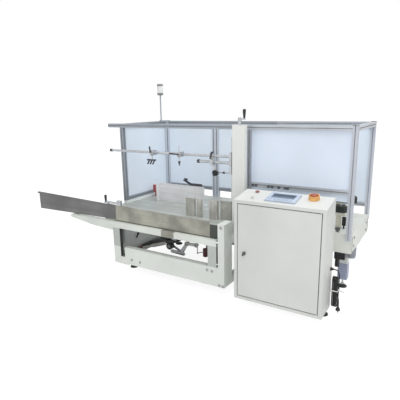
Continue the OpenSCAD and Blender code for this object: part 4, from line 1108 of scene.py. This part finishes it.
@dataclass
class PowerLead:
    """Mains lead at the cabinet's side, folded into a tied hank, with its plug."""

    radius: float = 4.5
    length: float = 2.49
    side: float = 720.0
    middle: float = 198.0
    gland_z: float = 392.0
    gland_out: float = 24.0
    gland_rings: Pairs = (
        (11.5, 7.0), (11.5, 10.0), (9.5, 11.0), (10.5, 13.0), (8.5, 14.0), (9.5, 16.5), (7.5, 17.5),
        (8.0, 20.5), (6.5, 21.5), (5.8, 24.0),
    )
    outer: float = 62.0
    inner: float = 23.0
    turns: int = 4
    fold: float = 27.5
    low: float = 124.0
    high: float = 306.0
    run_steps: int = 4
    fold_steps: int = 16
    bend_steps: int = 20
    tail_steps: int = 10
    exit_handle: float = 34.0
    drop_handle: float = 66.0
    tail_straight: float = 25.0
    tail_knots: tuple[Place, ...] = ((37.1, 29.0, 242.0), (37.5, 58.0, 158.0), (32.5, 66.0, 118.0))
    tail_room: float = 10.0
    neck_straight: float = 20.0
    plug_out: float = 66.0
    plug_low: float = 30.0
    plug_top: float = 80.0
    plug_radius: float = 17.0
    pin_length: float = 19.0
    pin_gap: float = 9.5
    tie_z: float = 232.0
    tie_half: float = 4.0
    tie_wall: float = 1.4
    tie_slack: float = 1.0
    tie_corner: float = 5.0
    tie_head: Place = (6.0, 7.0, 2.0)
    tie_tail: float = 44.0
    tie_droop: float = 14.0

    def build(self) -> None:
        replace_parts(self.nose(), "cord_gland")
        lead = self.lead()
        plug = self.plug()
        tie = self.tie()
        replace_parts(lead, "cord_lead", "cord_hank")
        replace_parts(plug, "power_plug")

    def spot(self, across: float, out: float, z: float) -> Vector:
        """Gives a layout point from its place behind the hank's middle and out from the side."""
        return Vector((self.side + out, self.middle + across, z))

    def route(self) -> list[Vector]:
        """Works out the lead's line from the gland round the hank to the plug.

        Returns:
            Points in layout millimetres.
        """
        bend = [
            self.spot(0.0, self.gland_out, self.gland_z),
            self.spot(0.0, self.gland_out + self.exit_handle, self.gland_z),
            self.spot(self.fold, self.outer, self.high + self.drop_handle),
            self.spot(self.fold, self.outer, self.high),
        ]
        line = [bezier(bend, k / self.bend_steps) for k in range(self.bend_steps)]
        pitch = (self.outer - self.inner) / self.turns
        for turn in range(self.turns):
            line += self.turn(self.outer - turn * pitch, pitch)
        tail = [
            self.spot(self.fold, self.inner, self.high),
            self.spot(self.fold, self.inner, self.high - self.tail_straight),
            *(self.spot(*knot) for knot in self.tail_knots),
            self.spot(self.fold, self.plug_out, self.plug_top + self.neck_straight),
            self.spot(self.fold, self.plug_out, self.plug_top),
        ]
        return line + smooth(tail, self.tail_steps)

    def turn(self, out: float, pitch: float) -> list[Vector]:
        """Gives one turn of the hank, from the top of its rear run and back to it.

        Args:
            out: Distance from the cabinet's side at the start.
            pitch: Distance that the turn gains towards the cabinet.

        Returns:
            Points of the turn, without the last.
        """
        flat: list[Pair] = []
        for side, start, end in ((1.0, self.high, self.low), (-1.0, self.low, self.high)):
            reach = side * self.fold
            flat += [(reach, start + k * (end - start) / self.run_steps) for k in range(self.run_steps)]
            angles = [math.pi * k / self.fold_steps for k in range(self.fold_steps)]
            flat += [(reach * math.cos(a), end - reach * math.sin(a)) for a in angles]
        gain = pitch / len(flat)
        return [self.spot(across, out - gain * k, z) for k, (across, z) in enumerate(flat)]

    def lead(self) -> Piece:
        """Draws the lead as a round curve.

        Returns:
            The lead.
        """
        points = self.route()
        data = bpy.data.curves.new("mains_lead", "CURVE")
        data.dimensions = "3D"
        data.bevel_depth = self.radius * MM
        data.bevel_resolution = 4
        data.use_fill_caps = True
        spline = data.splines.new("POLY")
        spline.points.add(len(points) - 1)
        for knot, point in zip(spline.points, points):
            knot.co = (*at(*point), 1.0)
        spline.use_smooth = True
        lead = bpy.data.objects.new("mains_lead", data)
        bpy.context.scene.collection.objects.link(lead)
        return settle(lead, "mains_lead", RUBBER)

    def nose(self) -> Piece:
        """Models the gland's hexagon and its tapered, ribbed nose.

        Returns:
            The gland.
        """
        spot = at(*self.spot(0.0, 0.0, self.gland_z))
        parts = [hex_nut(15.0, 8.0), BENCH.turned(self.gland_rings)]
        gland = joined([place(part, spot, Axis.X) for part in parts])
        return settle(gland, "lead_gland", BLACK)

    def plug(self) -> Piece:
        """Models the plug with its ribbed neck and two pins.

        Returns:
            The plug.
        """
        pins, wide, top = self.pin_length, self.plug_radius, self.plug_top - self.plug_low
        body = BENCH.turned([
            (0.9 * wide, pins), (wide, pins + 2.0), (wide, pins + 12.0), (0.86 * wide, pins + 18.0),
            (0.7 * wide, top - 8.0), (0.5 * wide, top - 3.0), (0.42 * wide, top),
            (0.36 * wide, top + 1.0), (0.42 * wide, top + 6.0), (0.34 * wide, top + 7.0),
            (0.38 * wide, top + 13.0), (0.31 * wide, top + 14.0), (0.33 * wide, top + 21.0),
        ])
        pin = BENCH.turned([(1.2, 0.0), (2.3, 1.6), (2.4, 3.0), (2.4, pins + 1.0)], 16)
        spot = at(*self.spot(self.fold, self.plug_out, self.plug_low))
        gap = Vector((0.0, self.pin_gap * MM, 0.0))
        pair = copies(pin, [(spot - gap, Axis.Z), (spot + gap, Axis.Z)])
        pair.data.materials.clear()
        pair.data.materials.append(BOLT_STEEL.material())
        plug = settle(place(body, spot), "mains_plug", BLACK)
        return joined([plug, pair])

    def tie(self) -> Piece:
        """Models the nylon band that holds the hank, with its head and loose tail.

        Returns:
            The tie.
        """
        gap = self.radius + self.tie_slack
        half, edge, rise = self.fold + gap, self.outer + gap, self.tie_half
        low, high = self.tie_z - rise, self.tie_z + rise
        BENCH.block(
            at(*self.spot(-half, self.inner - gap, low)),
            at(*self.spot(half + self.tail_room, edge, high)),
        )
        BENCH.edges(lambda middle, along: abs(along.z) > ALIGNED).bevel(self.tie_corner, 4)
        band = BENCH.faces(lambda middle, normal: abs(normal.z) > ALIGNED).drop().off()
        wall = band.modifiers.new("wall", "SOLIDIFY")
        wall.thickness = self.tie_wall * MM
        wall.offset = 1.0
        rest()
        bpy.context.view_layer.objects.active = band
        bpy.ops.object.modifier_apply(modifier="wall")
        tail = rounded(self.spot(-1.0, edge, low), self.spot(1.0, edge + self.tie_tail, high), 0.8)
        root = Matrix.Translation(at(*self.spot(0.0, edge, self.tie_z)))
        droop = Matrix.Rotation(math.radians(self.tie_droop), 4, "Y")
        tail.data.transform(root @ droop @ root.inverted())
        wide, deep, tall = self.tie_head
        head = rounded(
            self.spot(-wide, edge - 1.0, low - tall), self.spot(wide, edge + deep, high + tall), 1.5
        )
        return settle(joined([band, tail, head]), "hank_tie", TIE_WHITE)


@dataclass
class BaseFrame:
    """Painted beams, legs, arms and pedestal, with their bolts and the end panel's pull."""

    front: float = 61.0
    back: float = 1138.0
    outfeed_end: float = 810.0
    bolt: Pair = (5.0, 4.0)
    front_bolts: Pairs = (
        (-1172.0, 137.0), (-1065.0, 133.0), (-296.0, 217.0), (-247.0, 216.0), (-157.0, 619.0),
        (-175.0, 95.0), (-139.0, 95.0),
    )
    rear_x: Pair = (-1357.0, -169.0)
    rear_z: Place = (130.0, 205.0, 472.0)
    end_y: Pair = (540.0, 1036.0)
    end_z: Pair = (485.0, 555.0)
    pull_foot: Place = (-1387.0, 388.0, 240.0)
    pull_lean: float = -41.0
    pull_rings: Pairs = (
        (4.0, 0.0), (6.5, 2.0), (7.0, 30.0), (8.5, 44.0), (10.0, 52.0), (9.8, 58.0), (7.0, 62.0),
        (3.0, 63.0),
    )

    def build(self) -> None:
        """Dresses the frame and adds its bolts and the leaning grip inside the end panel."""
        dress(
            FRAME_PAINT, "lower_beams", "cross_beams", "channel_post", "upper_beams", "magazine_arms",
            "foot_plates", "cabinet_arms",
        )
        dress(LEG_SHADED_PAINT, "base_legs")
        dress(OUTFEED_PAINT, "outfeed_side_beams", "outfeed_end_beams")
        dress(PEDESTAL, "pedestal")
        dress(SHADE_LIFTED_PAINT, "end_panel", "left_sill")
        front = [(at(x, self.front, z), Axis.FRONT) for x, z in self.front_bolts]
        bolts("frame_bolts", *self.bolt, front)
        grip = tilted(BENCH.turned(self.pull_rings, 24), at(*self.pull_foot), self.pull_lean, "X")
        settle(grip, "panel_pull", BLACK)
        rear = [(at(x, self.back, z), Axis.Y) for x in self.rear_x for z in self.rear_z]
        rear += [(at(self.outfeed_end, y, z), Axis.X) for y in self.end_y for z in self.end_z]
        bolts("rear_frame_bolts", *self.bolt, rear)


@dataclass
class LevellingFeet:
    """Domed pads on threaded screws."""

    pad_radius: float = 40.0
    pad_height: float = 24.0
    neck_radius: float = 14.0
    nut: Pair = (15.0, 9.0)
    nut_gap: float = 4.0
    spots: Pairs = (
        (-1265.0, 196.0), (-1265.0, 1003.0), (-156.0, 500.0), (-156.0, 1003.0), (40.0, 200.0),
        (680.0, 200.0), (690.0, 788.0),
    )

    def build(self) -> None:
        """Dresses the screws and puts domed pads and lock nuts under them."""
        dress(ZINC, "foot_screws")
        wide, high, neck = self.pad_radius, self.pad_height, self.neck_radius
        pad = BENCH.turned([
            (0.95 * wide, 0.0), (wide, 0.06 * high), (wide, 0.28 * high), (0.95 * wide, 0.42 * high),
            (0.8 * wide, 0.62 * high), (0.6 * wide, 0.8 * high), (neck, high), (0.7 * neck, high),
        ], 40)
        pads = copies(pad, [(at(x, y, 0.0), Axis.Z) for x, y in self.spots])
        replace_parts(settle(pads, "domed_pads", RUBBER), "foot_pads")
        nuts = [(at(x, y, high + self.nut_gap), Axis.Z) for x, y in self.spots]
        settle(copies(hex_nut(*self.nut), nuts), "foot_lock_nuts", ZINC)


@dataclass
class ControlCabinet:
    """Cabinet with a sloping console, its screen, buttons and door fittings."""

    top: float = 895.0
    back: float = 240.0
    slope: float = math.atan(42.0 / 240.0)
    screen: Pair = (266.0, 94.0)
    screen_up: float = 10.1
    glass: Place = (182.0, 84.0, 1.6)
    glass_rim: float = 3.0
    glass_groove: Pair = (0.6, -0.4)
    bezel_up: float = 12.1
    key_count: int = 6
    key_drop: float = 34.0
    key: Place = (22.0, 12.0, 2.0)
    key_crown: Pair = (1.5, 0.6)
    stop: Pair = (580.0, 166.0)
    stop_up: float = 8.1
    stop_rings: Pairs = (
        (13.5, 0.0), (13.5, 14.0), (26.0, 15.2), (27.0, 18.0), (26.8, 24.0), (24.5, 30.0),
        (19.5, 34.0), (12.0, 35.8), (4.0, 36.0),
    )
    start: Pair = (116.0, 185.0)
    start_up: float = 0.1
    collar_rings: Pairs = (
        (26.5, 0.0), (27.0, 1.0), (27.0, 3.0), (25.5, 4.5), (20.5, 4.8),
    )
    lock: Place = (88.0, 0.0, 462.0)
    lock_rings: Pairs = (
        (19.0, 0.0), (19.5, 0.6), (19.0, 1.8), (16.0, 2.2), (15.2, 2.2),
    )
    cover_bolt: Pair = (5.0, 3.5)
    cover_x: Pair = (18.0, 702.0)
    cover_z: tuple[float, ...] = (100.0, 360.0, 620.0, 850.0)
    opening: tuple[float, float, float, float] = (25.0, 695.0, 85.0, 870.0)
    seal_width: float = 4.5
    seal_y: Pair = (3.0, 12.0)
    seal_edge: float = 1.0

    def build(self) -> None:
        """Dresses the cabinet and models what sits on it."""
        dress(CABINET_PAINT, "cabinet_shell", "cabinet_door")
        dress(ZINC, "mounting_plate")
        dress(LOCK_GREY, "door_lock")
        dress(STOP_YELLOW, "stop_housing")
        dress(START_RED, "start_button")
        dress(BEZEL, "touch_screen")
        self.display()
        self.keys()
        self.buttons()
        ring = place(BENCH.turned(self.lock_rings), at(*self.lock), Axis.FRONT)
        settle(ring, "lock_ring", ZINC, Body.DOOR)
        cover = [(at(x, self.back, z), Axis.Y) for x in self.cover_x for z in self.cover_z]
        bolts("rear_cover_screws", *self.cover_bolt, cover)
        self.door_seal()

    def lay(self, piece: Piece, x: float, along: float, up: float) -> Piece:
        """Lays a piece made on +Z at the origin on the sloping console.

        Args:
            piece: The piece.
            x: Distance from the cabinet's left side.
            along: Distance up the slope from its front edge.
            up: Height above the console.

        Returns:
            The same piece.
        """
        slide = Matrix.Translation(Vector((0.0, along * MM, up * MM)))
        turn = Matrix.Rotation(self.slope, 4, "X")
        piece.data.transform(Matrix.Translation(at(x, 0.0, self.top)) @ turn @ slide)
        return piece

    def display(self) -> None:
        """Models the glass in the screen's recess."""
        BENCH.block(Vector(), Vector(self.glass) * MM)
        BENCH.top().inset(self.glass_rim).inset(*self.glass_groove)
        glass = self.lay(BENCH.soften(0.3, 1).off(), *self.screen, self.screen_up)
        settle(glass, "display_glass", DISPLAY)

    def keys(self) -> None:
        """Sets a row of soft keys on the bezel in front of the glass."""
        BENCH.block(Vector(), Vector(self.key) * MM)
        BENCH.top().inset(*self.key_crown)
        key = BENCH.soften(0.4, 1).off()
        step = (self.glass[0] - self.key[0]) / (self.key_count - 1)
        row = copies(key, [(Vector((k * step * MM, 0.0, 0.0)), Axis.Z) for k in range(self.key_count)])
        x, along = self.screen
        self.lay(row, x, along - self.key_drop, self.bezel_up)
        settle(row, "soft_keys", KEY)

    def buttons(self) -> None:
        """Turns the mushroom head of the stop button and the pale collar of the start button."""
        head = self.lay(BENCH.turned(self.stop_rings, 40), *self.stop, self.stop_up)
        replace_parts(settle(head, "stop_mushroom", STOP_RED), "stop_button")
        collar = self.lay(BENCH.turned(self.collar_rings), *self.start, self.start_up)
        settle(collar, "start_collar", PALE_PLASTIC)

    def door_seal(self) -> None:
        """Lines the door's opening with a pale seal."""
        x0, x1, z0, z1 = self.opening
        t, (y0, y1) = self.seal_width, self.seal_y
        bars = (
            ((x0, y0, z0), (x0 + t, y1, z1)),
            ((x1 - t, y0, z0), (x1, y1, z1)),
            ((x0 + t, y0, z1 - t), (x1 - t, y1, z1)),
            ((x0 + t, y0, z0), (x1 - t, y1, z0 + t)),
        )
        seal = joined([rounded(*bar, edge=self.seal_edge) for bar in bars])
        settle(seal, "door_seal", DOOR_SEAL)


@dataclass
class Guard:
    """Slotted aluminium guard with frosted sheets, end caps, corner angles and dark strips in the slots that
    paint their shade.
    """

    front: float = 398.0
    back: float = 1178.0
    top: float = 1450.0
    profile: float = 40.0
    left: float = -1544.0
    right: float = 810.0
    rail_left: float = -1703.0
    rail_z: float = 1410.0
    cap: float = 3.0
    cap_edge: float = 1.0
    bays: Pairs = ((-1464.0, -870.0), (-790.0, -60.0), (20.0, 770.0))
    angle: float = 34.0
    angle_depth: float = 28.0
    angle_gap: float = 6.0
    # The slot strips below are painted shade: dark strips where the slots' hollows fall in shadow.
    cover_x: tuple[float, ...] = (-1524.0, -1484.0, -850.0, -810.0)
    shade_low: float = 640.0
    shade_width: float = 9.0
    shade_proud: float = 1.0
    shade_depth: float = 2.0
    shade_edge: float = 0.6

    def build(self) -> None:
        """Dresses the guard and adds its small parts."""
        dress(ANODISED, "guard_posts")
        dress(ANODISED_LONG, "front_top_rail", "top_rails", "bottom_rails", "front_guard")
        dress(FROSTED, "front_panel")
        dress(BACKLIT, "wall_panels")
        self.caps()
        self.brackets()
        self.slot_shadow_strips()

    def caps(self) -> None:
        """Closes the open ends of the profiles with moulded caps."""
        p, top, cap_top = self.profile, self.top, self.top + self.cap
        near, far, inner = self.front + p, self.back - p, self.right - p
        ends = (
            ((self.rail_left - self.cap, self.front, self.rail_z), (self.rail_left, near, top)),
            ((inner, self.front, top), (self.right, near, cap_top)),
            ((inner, far, top), (self.right, self.back, cap_top)),
            ((self.left, far, top), (self.left + 2 * p, self.back, cap_top)),
        )
        caps = joined([rounded(*end, edge=self.cap_edge) for end in ends])
        settle(caps, "profile_caps", BLACK)

    def brackets(self) -> None:
        """Sets a cast angle in the upper corners of the rear bays."""
        pieces = [
            self.cast_angle(x, x + reach)
            for bay in self.bays for x, reach in zip(bay, (self.angle, -self.angle))
        ]
        settle(joined(pieces), "corner_angles", ZINC)

    def cast_angle(self, x: float, far_x: float) -> Piece:
        """Models one angle under the top rail.

        Args:
            x: Its side on the post.
            far_x: Its free side.

        Returns:
            The angle, in its place.
        """
        y = self.back - self.profile + self.angle_gap
        low = self.rail_z - self.angle
        far = at(far_x, y, low)
        BENCH.block(at(min(x, far_x), y, low), at(max(x, far_x), y + self.angle_depth, self.rail_z))
        BENCH.edges(
            lambda middle, along: abs(along.y) > ALIGNED and (middle - far).xz.length < 1e-4
        )
        return BENCH.bevel(0.9 * self.angle, 1).soften(0.8, 1).off()

    def slot_shadow_strips(self) -> None:
        """Presses dark strips into the slots of the rear posts beside the magazine: painted shade in the slot
        hollows.
        """
        half, face = 0.5 * self.shade_width, self.back - self.profile
        near, far = face - self.shade_proud, face + self.shade_depth
        strips = [
            rounded((x - half, near, self.shade_low), (x + half, far, self.rail_z), self.shade_edge)
            for x in self.cover_x
        ]
        settle(joined(strips), "slot_shadow_strips", SLOT_SHADE)


@dataclass
class GuideHead:
    """Painted column with its crank and the rods, clamps and levers that it carries."""

    crank_nut: Place = (-107.0, 302.0, 1509.0)
    nut: Pair = (11.0, 8.0)
    clamp_bolt: Pair = (5.5, 5.0)
    clamp_screws: tuple[Place, ...] = (
        (-1015.0, 258.0, 1171.0), (-698.0, 258.0, 1171.0), (-364.0, 280.0, 1165.0),
    )
    flange_bolt: Pair = (6.0, 5.0)
    flange_x: Pair = (-174.0, -40.0)
    flange_y: Pair = (272.0, 332.0)
    flange_z: float = 512.0
    knob: Place = (-318.0, 250.0, 1043.0)
    knob_size: Pair = (24.0, 6.0)
    knob_sides: int = 20
    lobe_share: float = 1.12
    boss_rim: float = 6.0
    boss: Pair = (2.0, 3.0)

    def build(self) -> None:
        """Dresses the column and guide head and adds screws, the lobed knob and the crank's nut."""
        dress(COLUMN_PAINT, "column")
        dress(ZINC, "slide_rail", "crank", "guide_head", "guide_rods", "rod_clamps")
        dress(BLACK, "crank_grip")
        dress(SUCTION, "clamp_levers")
        clamps = [(at(*screw), Axis.FRONT) for screw in self.clamp_screws]
        bolts("guide_screws", *self.clamp_bolt, clamps, Body.GUIDE)
        self.knob_lobes()
        nut = place(hex_nut(*self.nut), at(*self.crank_nut))
        settle(nut, "crank_nut", ZINC, Body.CRANK)
        flange = [(at(x, y, self.flange_z), Axis.Z) for x in self.flange_x for y in self.flange_y]
        bolts("column_screws", *self.flange_bolt, flange)

    def is_lobe(self, normal: Vector) -> bool:
        """Tells whether a side face is one of the pairs that stand out, two sides in four."""
        turned_by = math.degrees(math.atan2(normal.y, normal.x)) % 360
        return abs(normal.z) < 1.0 - ALIGNED and int(turned_by * self.knob_sides / 360.0) % 4 < 2

    def knob_lobes(self) -> None:
        """Models the lobed face of the round clamping knob."""
        BENCH.disc(*self.knob_size, self.knob_sides)
        BENCH.faces(lambda middle, normal: self.is_lobe(normal)).raise_ring().widen(self.lobe_share)
        BENCH.top().inset(self.boss_rim).inset(*self.boss)
        lobes = place(BENCH.soften(0.6, 1).off(), at(*self.knob), Axis.FRONT)
        settle(lobes, "knob_lobes", BLACK, Body.GUIDE)


@dataclass
class Magazine:
    """Tables and guide plates that hold the flat blanks."""

    # The strip is painted shadow under the front plate's lower edge.
    plate_shadow_line: Box = ((-1405.0, 98.5, 504.0), (-292.0, 100.0, 511.0))
    grip_foot: Place = (-1512.0, 100.0, 685.0)
    grip_rings: Pairs = (
        (7.0, 0.0), (9.0, 4.0), (11.5, 30.0), (13.0, 62.0), (11.5, 71.0), (5.0, 74.0),
    )

    def build(self) -> None:
        """Dresses the sheet parts and adds a dark strip under the front plate, painted shadow, and the
        clamp's grip.
        """
        dress(TABLE_STEEL, "magazine_table")
        dress(FRONT_PLATE, "front_plate")
        dress(GUIDE_PALE, "rear_guide")
        dress(PLATE_STEEL, "forming_plates")
        dress(EXTENSION, "plate_extension")
        dress(ZINC, "plate_clamp")
        dress(SUCTION, "suction_arm")
        settle(rounded(*self.plate_shadow_line, edge=0.5), "plate_shadow_line", PLATE_SHADOW)
        grip = place(BENCH.turned(self.grip_rings, 24), at(*self.grip_foot))
        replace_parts(settle(grip, "clamp_grip", BLACK), "clamp_handle")


@dataclass
class FlapFolder:
    """Ramp, rocker lever and rollers under the magazine."""

    wheel: Place = (-873.0, 285.0, 264.0)
    hub_rings: Pairs = (
        (20.0, 0.0), (20.0, 3.0), (13.0, 5.0), (13.0, 9.0), (7.0, 11.0), (4.0, 11.0),
    )
    levers: tuple[Bar, ...] = (
        Bar((-862.0, 205.0), (-724.0, 198.0), 32.0, 315.0, 11.0),
        Bar((-768.0, 201.0), (-683.0, 310.0), 30.0, 318.0, 8.0),
        Bar((-683.0, 310.0), (-574.0, 312.0), 26.0, 317.0, 9.0),
    )
    belly: tuple[Bar, ...] = (
        Bar((-1176.0, 206.0), (-1044.0, 252.0), 26.0, 248.5, 2.0),
        Bar((-1044.0, 252.0), (-900.0, 300.0), 34.0, 248.0, 2.5),
    )
    pivot_bolt: Pair = (9.0, 7.0)
    pivots: tuple[Place, ...] = ((-683.0, 317.0, 310.0), (-573.0, 317.0, 316.0))

    def build(self) -> None:
        """Dresses the folder and adds its wheel hub, lever plates, ramp belly and pivot bolts."""
        dress(RAMP, "flap_ramp")
        dress(ANODISED_LONG, "folder_levers")
        dress(ROLLER, "red_rollers")
        dress(BLACK, "air_cylinder")
        hub = place(BENCH.turned(self.hub_rings), at(*self.wheel), Axis.FRONT)
        settle(hub, "wheel_hub", CAP_GREY)
        settle(joined([bar.model() for bar in self.levers]), "lever_plates", LEVER_GREY)
        settle(joined([bar.model() for bar in self.belly]), "ramp_belly", BELLY_GREY)
        pivots = [(at(*pivot), Axis.FRONT) for pivot in self.pivots]
        bolts("lever_pivots", *self.pivot_bolt, pivots)


@dataclass
class BeltLane:
    """Side belts with their beams, drive motor, air units and the strip under the near belt."""

    belt_top: float = 794.0
    pulley_x: Pair = (-20.0, 700.0)
    pulley_y: Pair = (598.0, 978.0)
    cap_rings: Pairs = (
        (22.0, 0.0), (22.0, 4.0), (18.0, 6.0), (10.0, 6.5), (9.0, 13.0), (4.0, 14.0),
    )
    motor: Place = (768.0, 676.0, 433.0)
    motor_radius: float = 38.0
    motor_height: float = 100.0
    fins: int = 7
    fin_pitch: float = 12.0
    fin_reach: float = 3.0
    strip: Box = ((-20.0, 576.0, 711.0), (720.0, 584.0, 736.0))
    leg: Box = ((646.0, 584.0, 605.0), (690.0, 592.0, 730.0))
    sensor: Box = ((700.0, 564.0, 634.0), (730.0, 584.0, 706.0))
    stem: Box = ((709.0, 570.0, 605.0), (721.0, 582.0, 636.0))
    knob: Place = (692.0, 468.0, 605.0)
    knob_rings: Pairs = (
        (8.0, 0.0), (8.0, 12.0), (18.0, 15.0), (20.0, 20.0), (20.0, 33.0), (18.0, 37.0), (6.0, 38.0),
    )

    def build(self) -> None:
        """Dresses the lane and adds pulley caps, motor fins and the strip with its sensor and knob."""
        dress(BELT, "side_belts")
        dress(LANE_BEAM, "belt_beams")
        dress(MOTOR_PAINT, "drive_motor")
        dress(AIR_UNIT, "air_units")
        dress(OUTFEED_PAINT, "outfeed_table")
        ends = [(at(x, y, self.belt_top), Axis.Z) for x in self.pulley_x for y in self.pulley_y]
        settle(copies(BENCH.turned(self.cap_rings), ends), "pulley_caps", BLACK)
        self.motor_fins()
        self.lane_strip()

    def motor_fins(self) -> None:
        """Turns the cooling rings round the motor's case."""
        r, end = self.motor_radius, self.motor_height
        out = r + self.fin_reach
        rings = [(r, 0.0)]
        for k in range(self.fins):
            z = self.fin_pitch * (k + 0.5)
            rings += [(r, z), (out, z + 1.0), (out, z + 5.0), (r, z + 6.0)]
        rings += [(r, end - 6.0), (0.9 * r, end)]
        case = place(BENCH.turned(rings, 40), at(*self.motor), Axis.DOWN)
        settle(case, "motor_fins", MOTOR_PAINT)

    def lane_strip(self) -> None:
        """Adds the strip under the near belt, its bracket, and the sensor and knob beside it."""
        strip = cushioned(*self.strip, rim=4.0, depth=1.0)
        leg = cushioned(*self.leg, rim=6.0, depth=-1.5)
        settle(joined([strip, leg]), "lane_strip", LANE_CREAM)
        body = cushioned(*self.sensor, rim=4.0, depth=-2.0)
        stem = rounded(*self.stem, edge=2.0)
        settle(joined([body, stem]), "lane_sensor", BLACK)
        knob = place(BENCH.turned(self.knob_rings, 24), at(*self.knob))
        settle(knob, "lane_knob", LOCK_GREY)


@dataclass
class SignalLamp:
    """Lamp on a thin pole at the guard's rear left corner."""

    foot: Place = (-1524.0, 1083.0, 1450.0)
    low: float = 294.0
    top: float = 418.0
    radius: float = 35.0
    flange_rings: Pairs = ((22.0, 0.0), (22.0, 6.0), (19.0, 10.0), (10.5, 14.0))
    flange_top: float = 20.0
    pole_radius: float = 8.0
    base_height: float = 24.0
    hat_height: float = 26.0
    ribs: int = 8

    def build(self) -> None:
        """Turns the pole, caps and ribbed lens."""
        spot = at(*self.foot)
        wide, thin, low, top = self.radius, self.pole_radius, self.low, self.top
        pole = BENCH.turned([*self.flange_rings, (thin, self.flange_top), (thin, low)])
        pole = settle(place(pole, spot), "lamp_pole", ANODISED)
        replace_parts(pole, "signal_lamp")
        lens_low, lens_top = low + self.base_height, top - self.hat_height
        base = BENCH.turned([
            (0.6 * wide, low - 4.0), (0.94 * wide, low), (wide, low + 3.0), (wide, low + 22.0),
            (0.95 * wide, lens_low),
        ], 40)
        hat = BENCH.turned([
            (0.95 * wide, lens_top), (wide, top - 24.0), (wide, top - 10.0), (0.9 * wide, top - 3.0),
            (0.7 * wide, top), (0.2 * wide, top),
        ], 40)
        settle(joined([place(base, spot), place(hat, spot)]), "lamp_caps", CAP_GREY)
        rings = [(0.93 * wide, lens_low)]
        step = (lens_top - lens_low) / self.ribs
        for k in range(self.ribs):
            z = lens_low + k * step
            rings += [(0.95 * wide, z + 0.25 * step), (0.95 * wide, z + 0.75 * step), (0.93 * wide, z + step)]
        settle(place(BENCH.turned(rings, 40), spot), "lamp_lens", LENS)


def main() -> None:
    """Builds every sub-assembly in order."""
    logging.basicConfig(level=logging.INFO, format="%(name)s: %(message)s")
    for assembly in (
        Studio(), PowerLead(), BaseFrame(), LevellingFeet(), ControlCabinet(), Guard(), GuideHead(),
        Magazine(), FlapFolder(), BeltLane(), SignalLamp(),
    ):
        assembly.build()
        LOG.info("finished %s", type(assembly).__name__)
    rest()


if __name__ == "__main__":
    main()
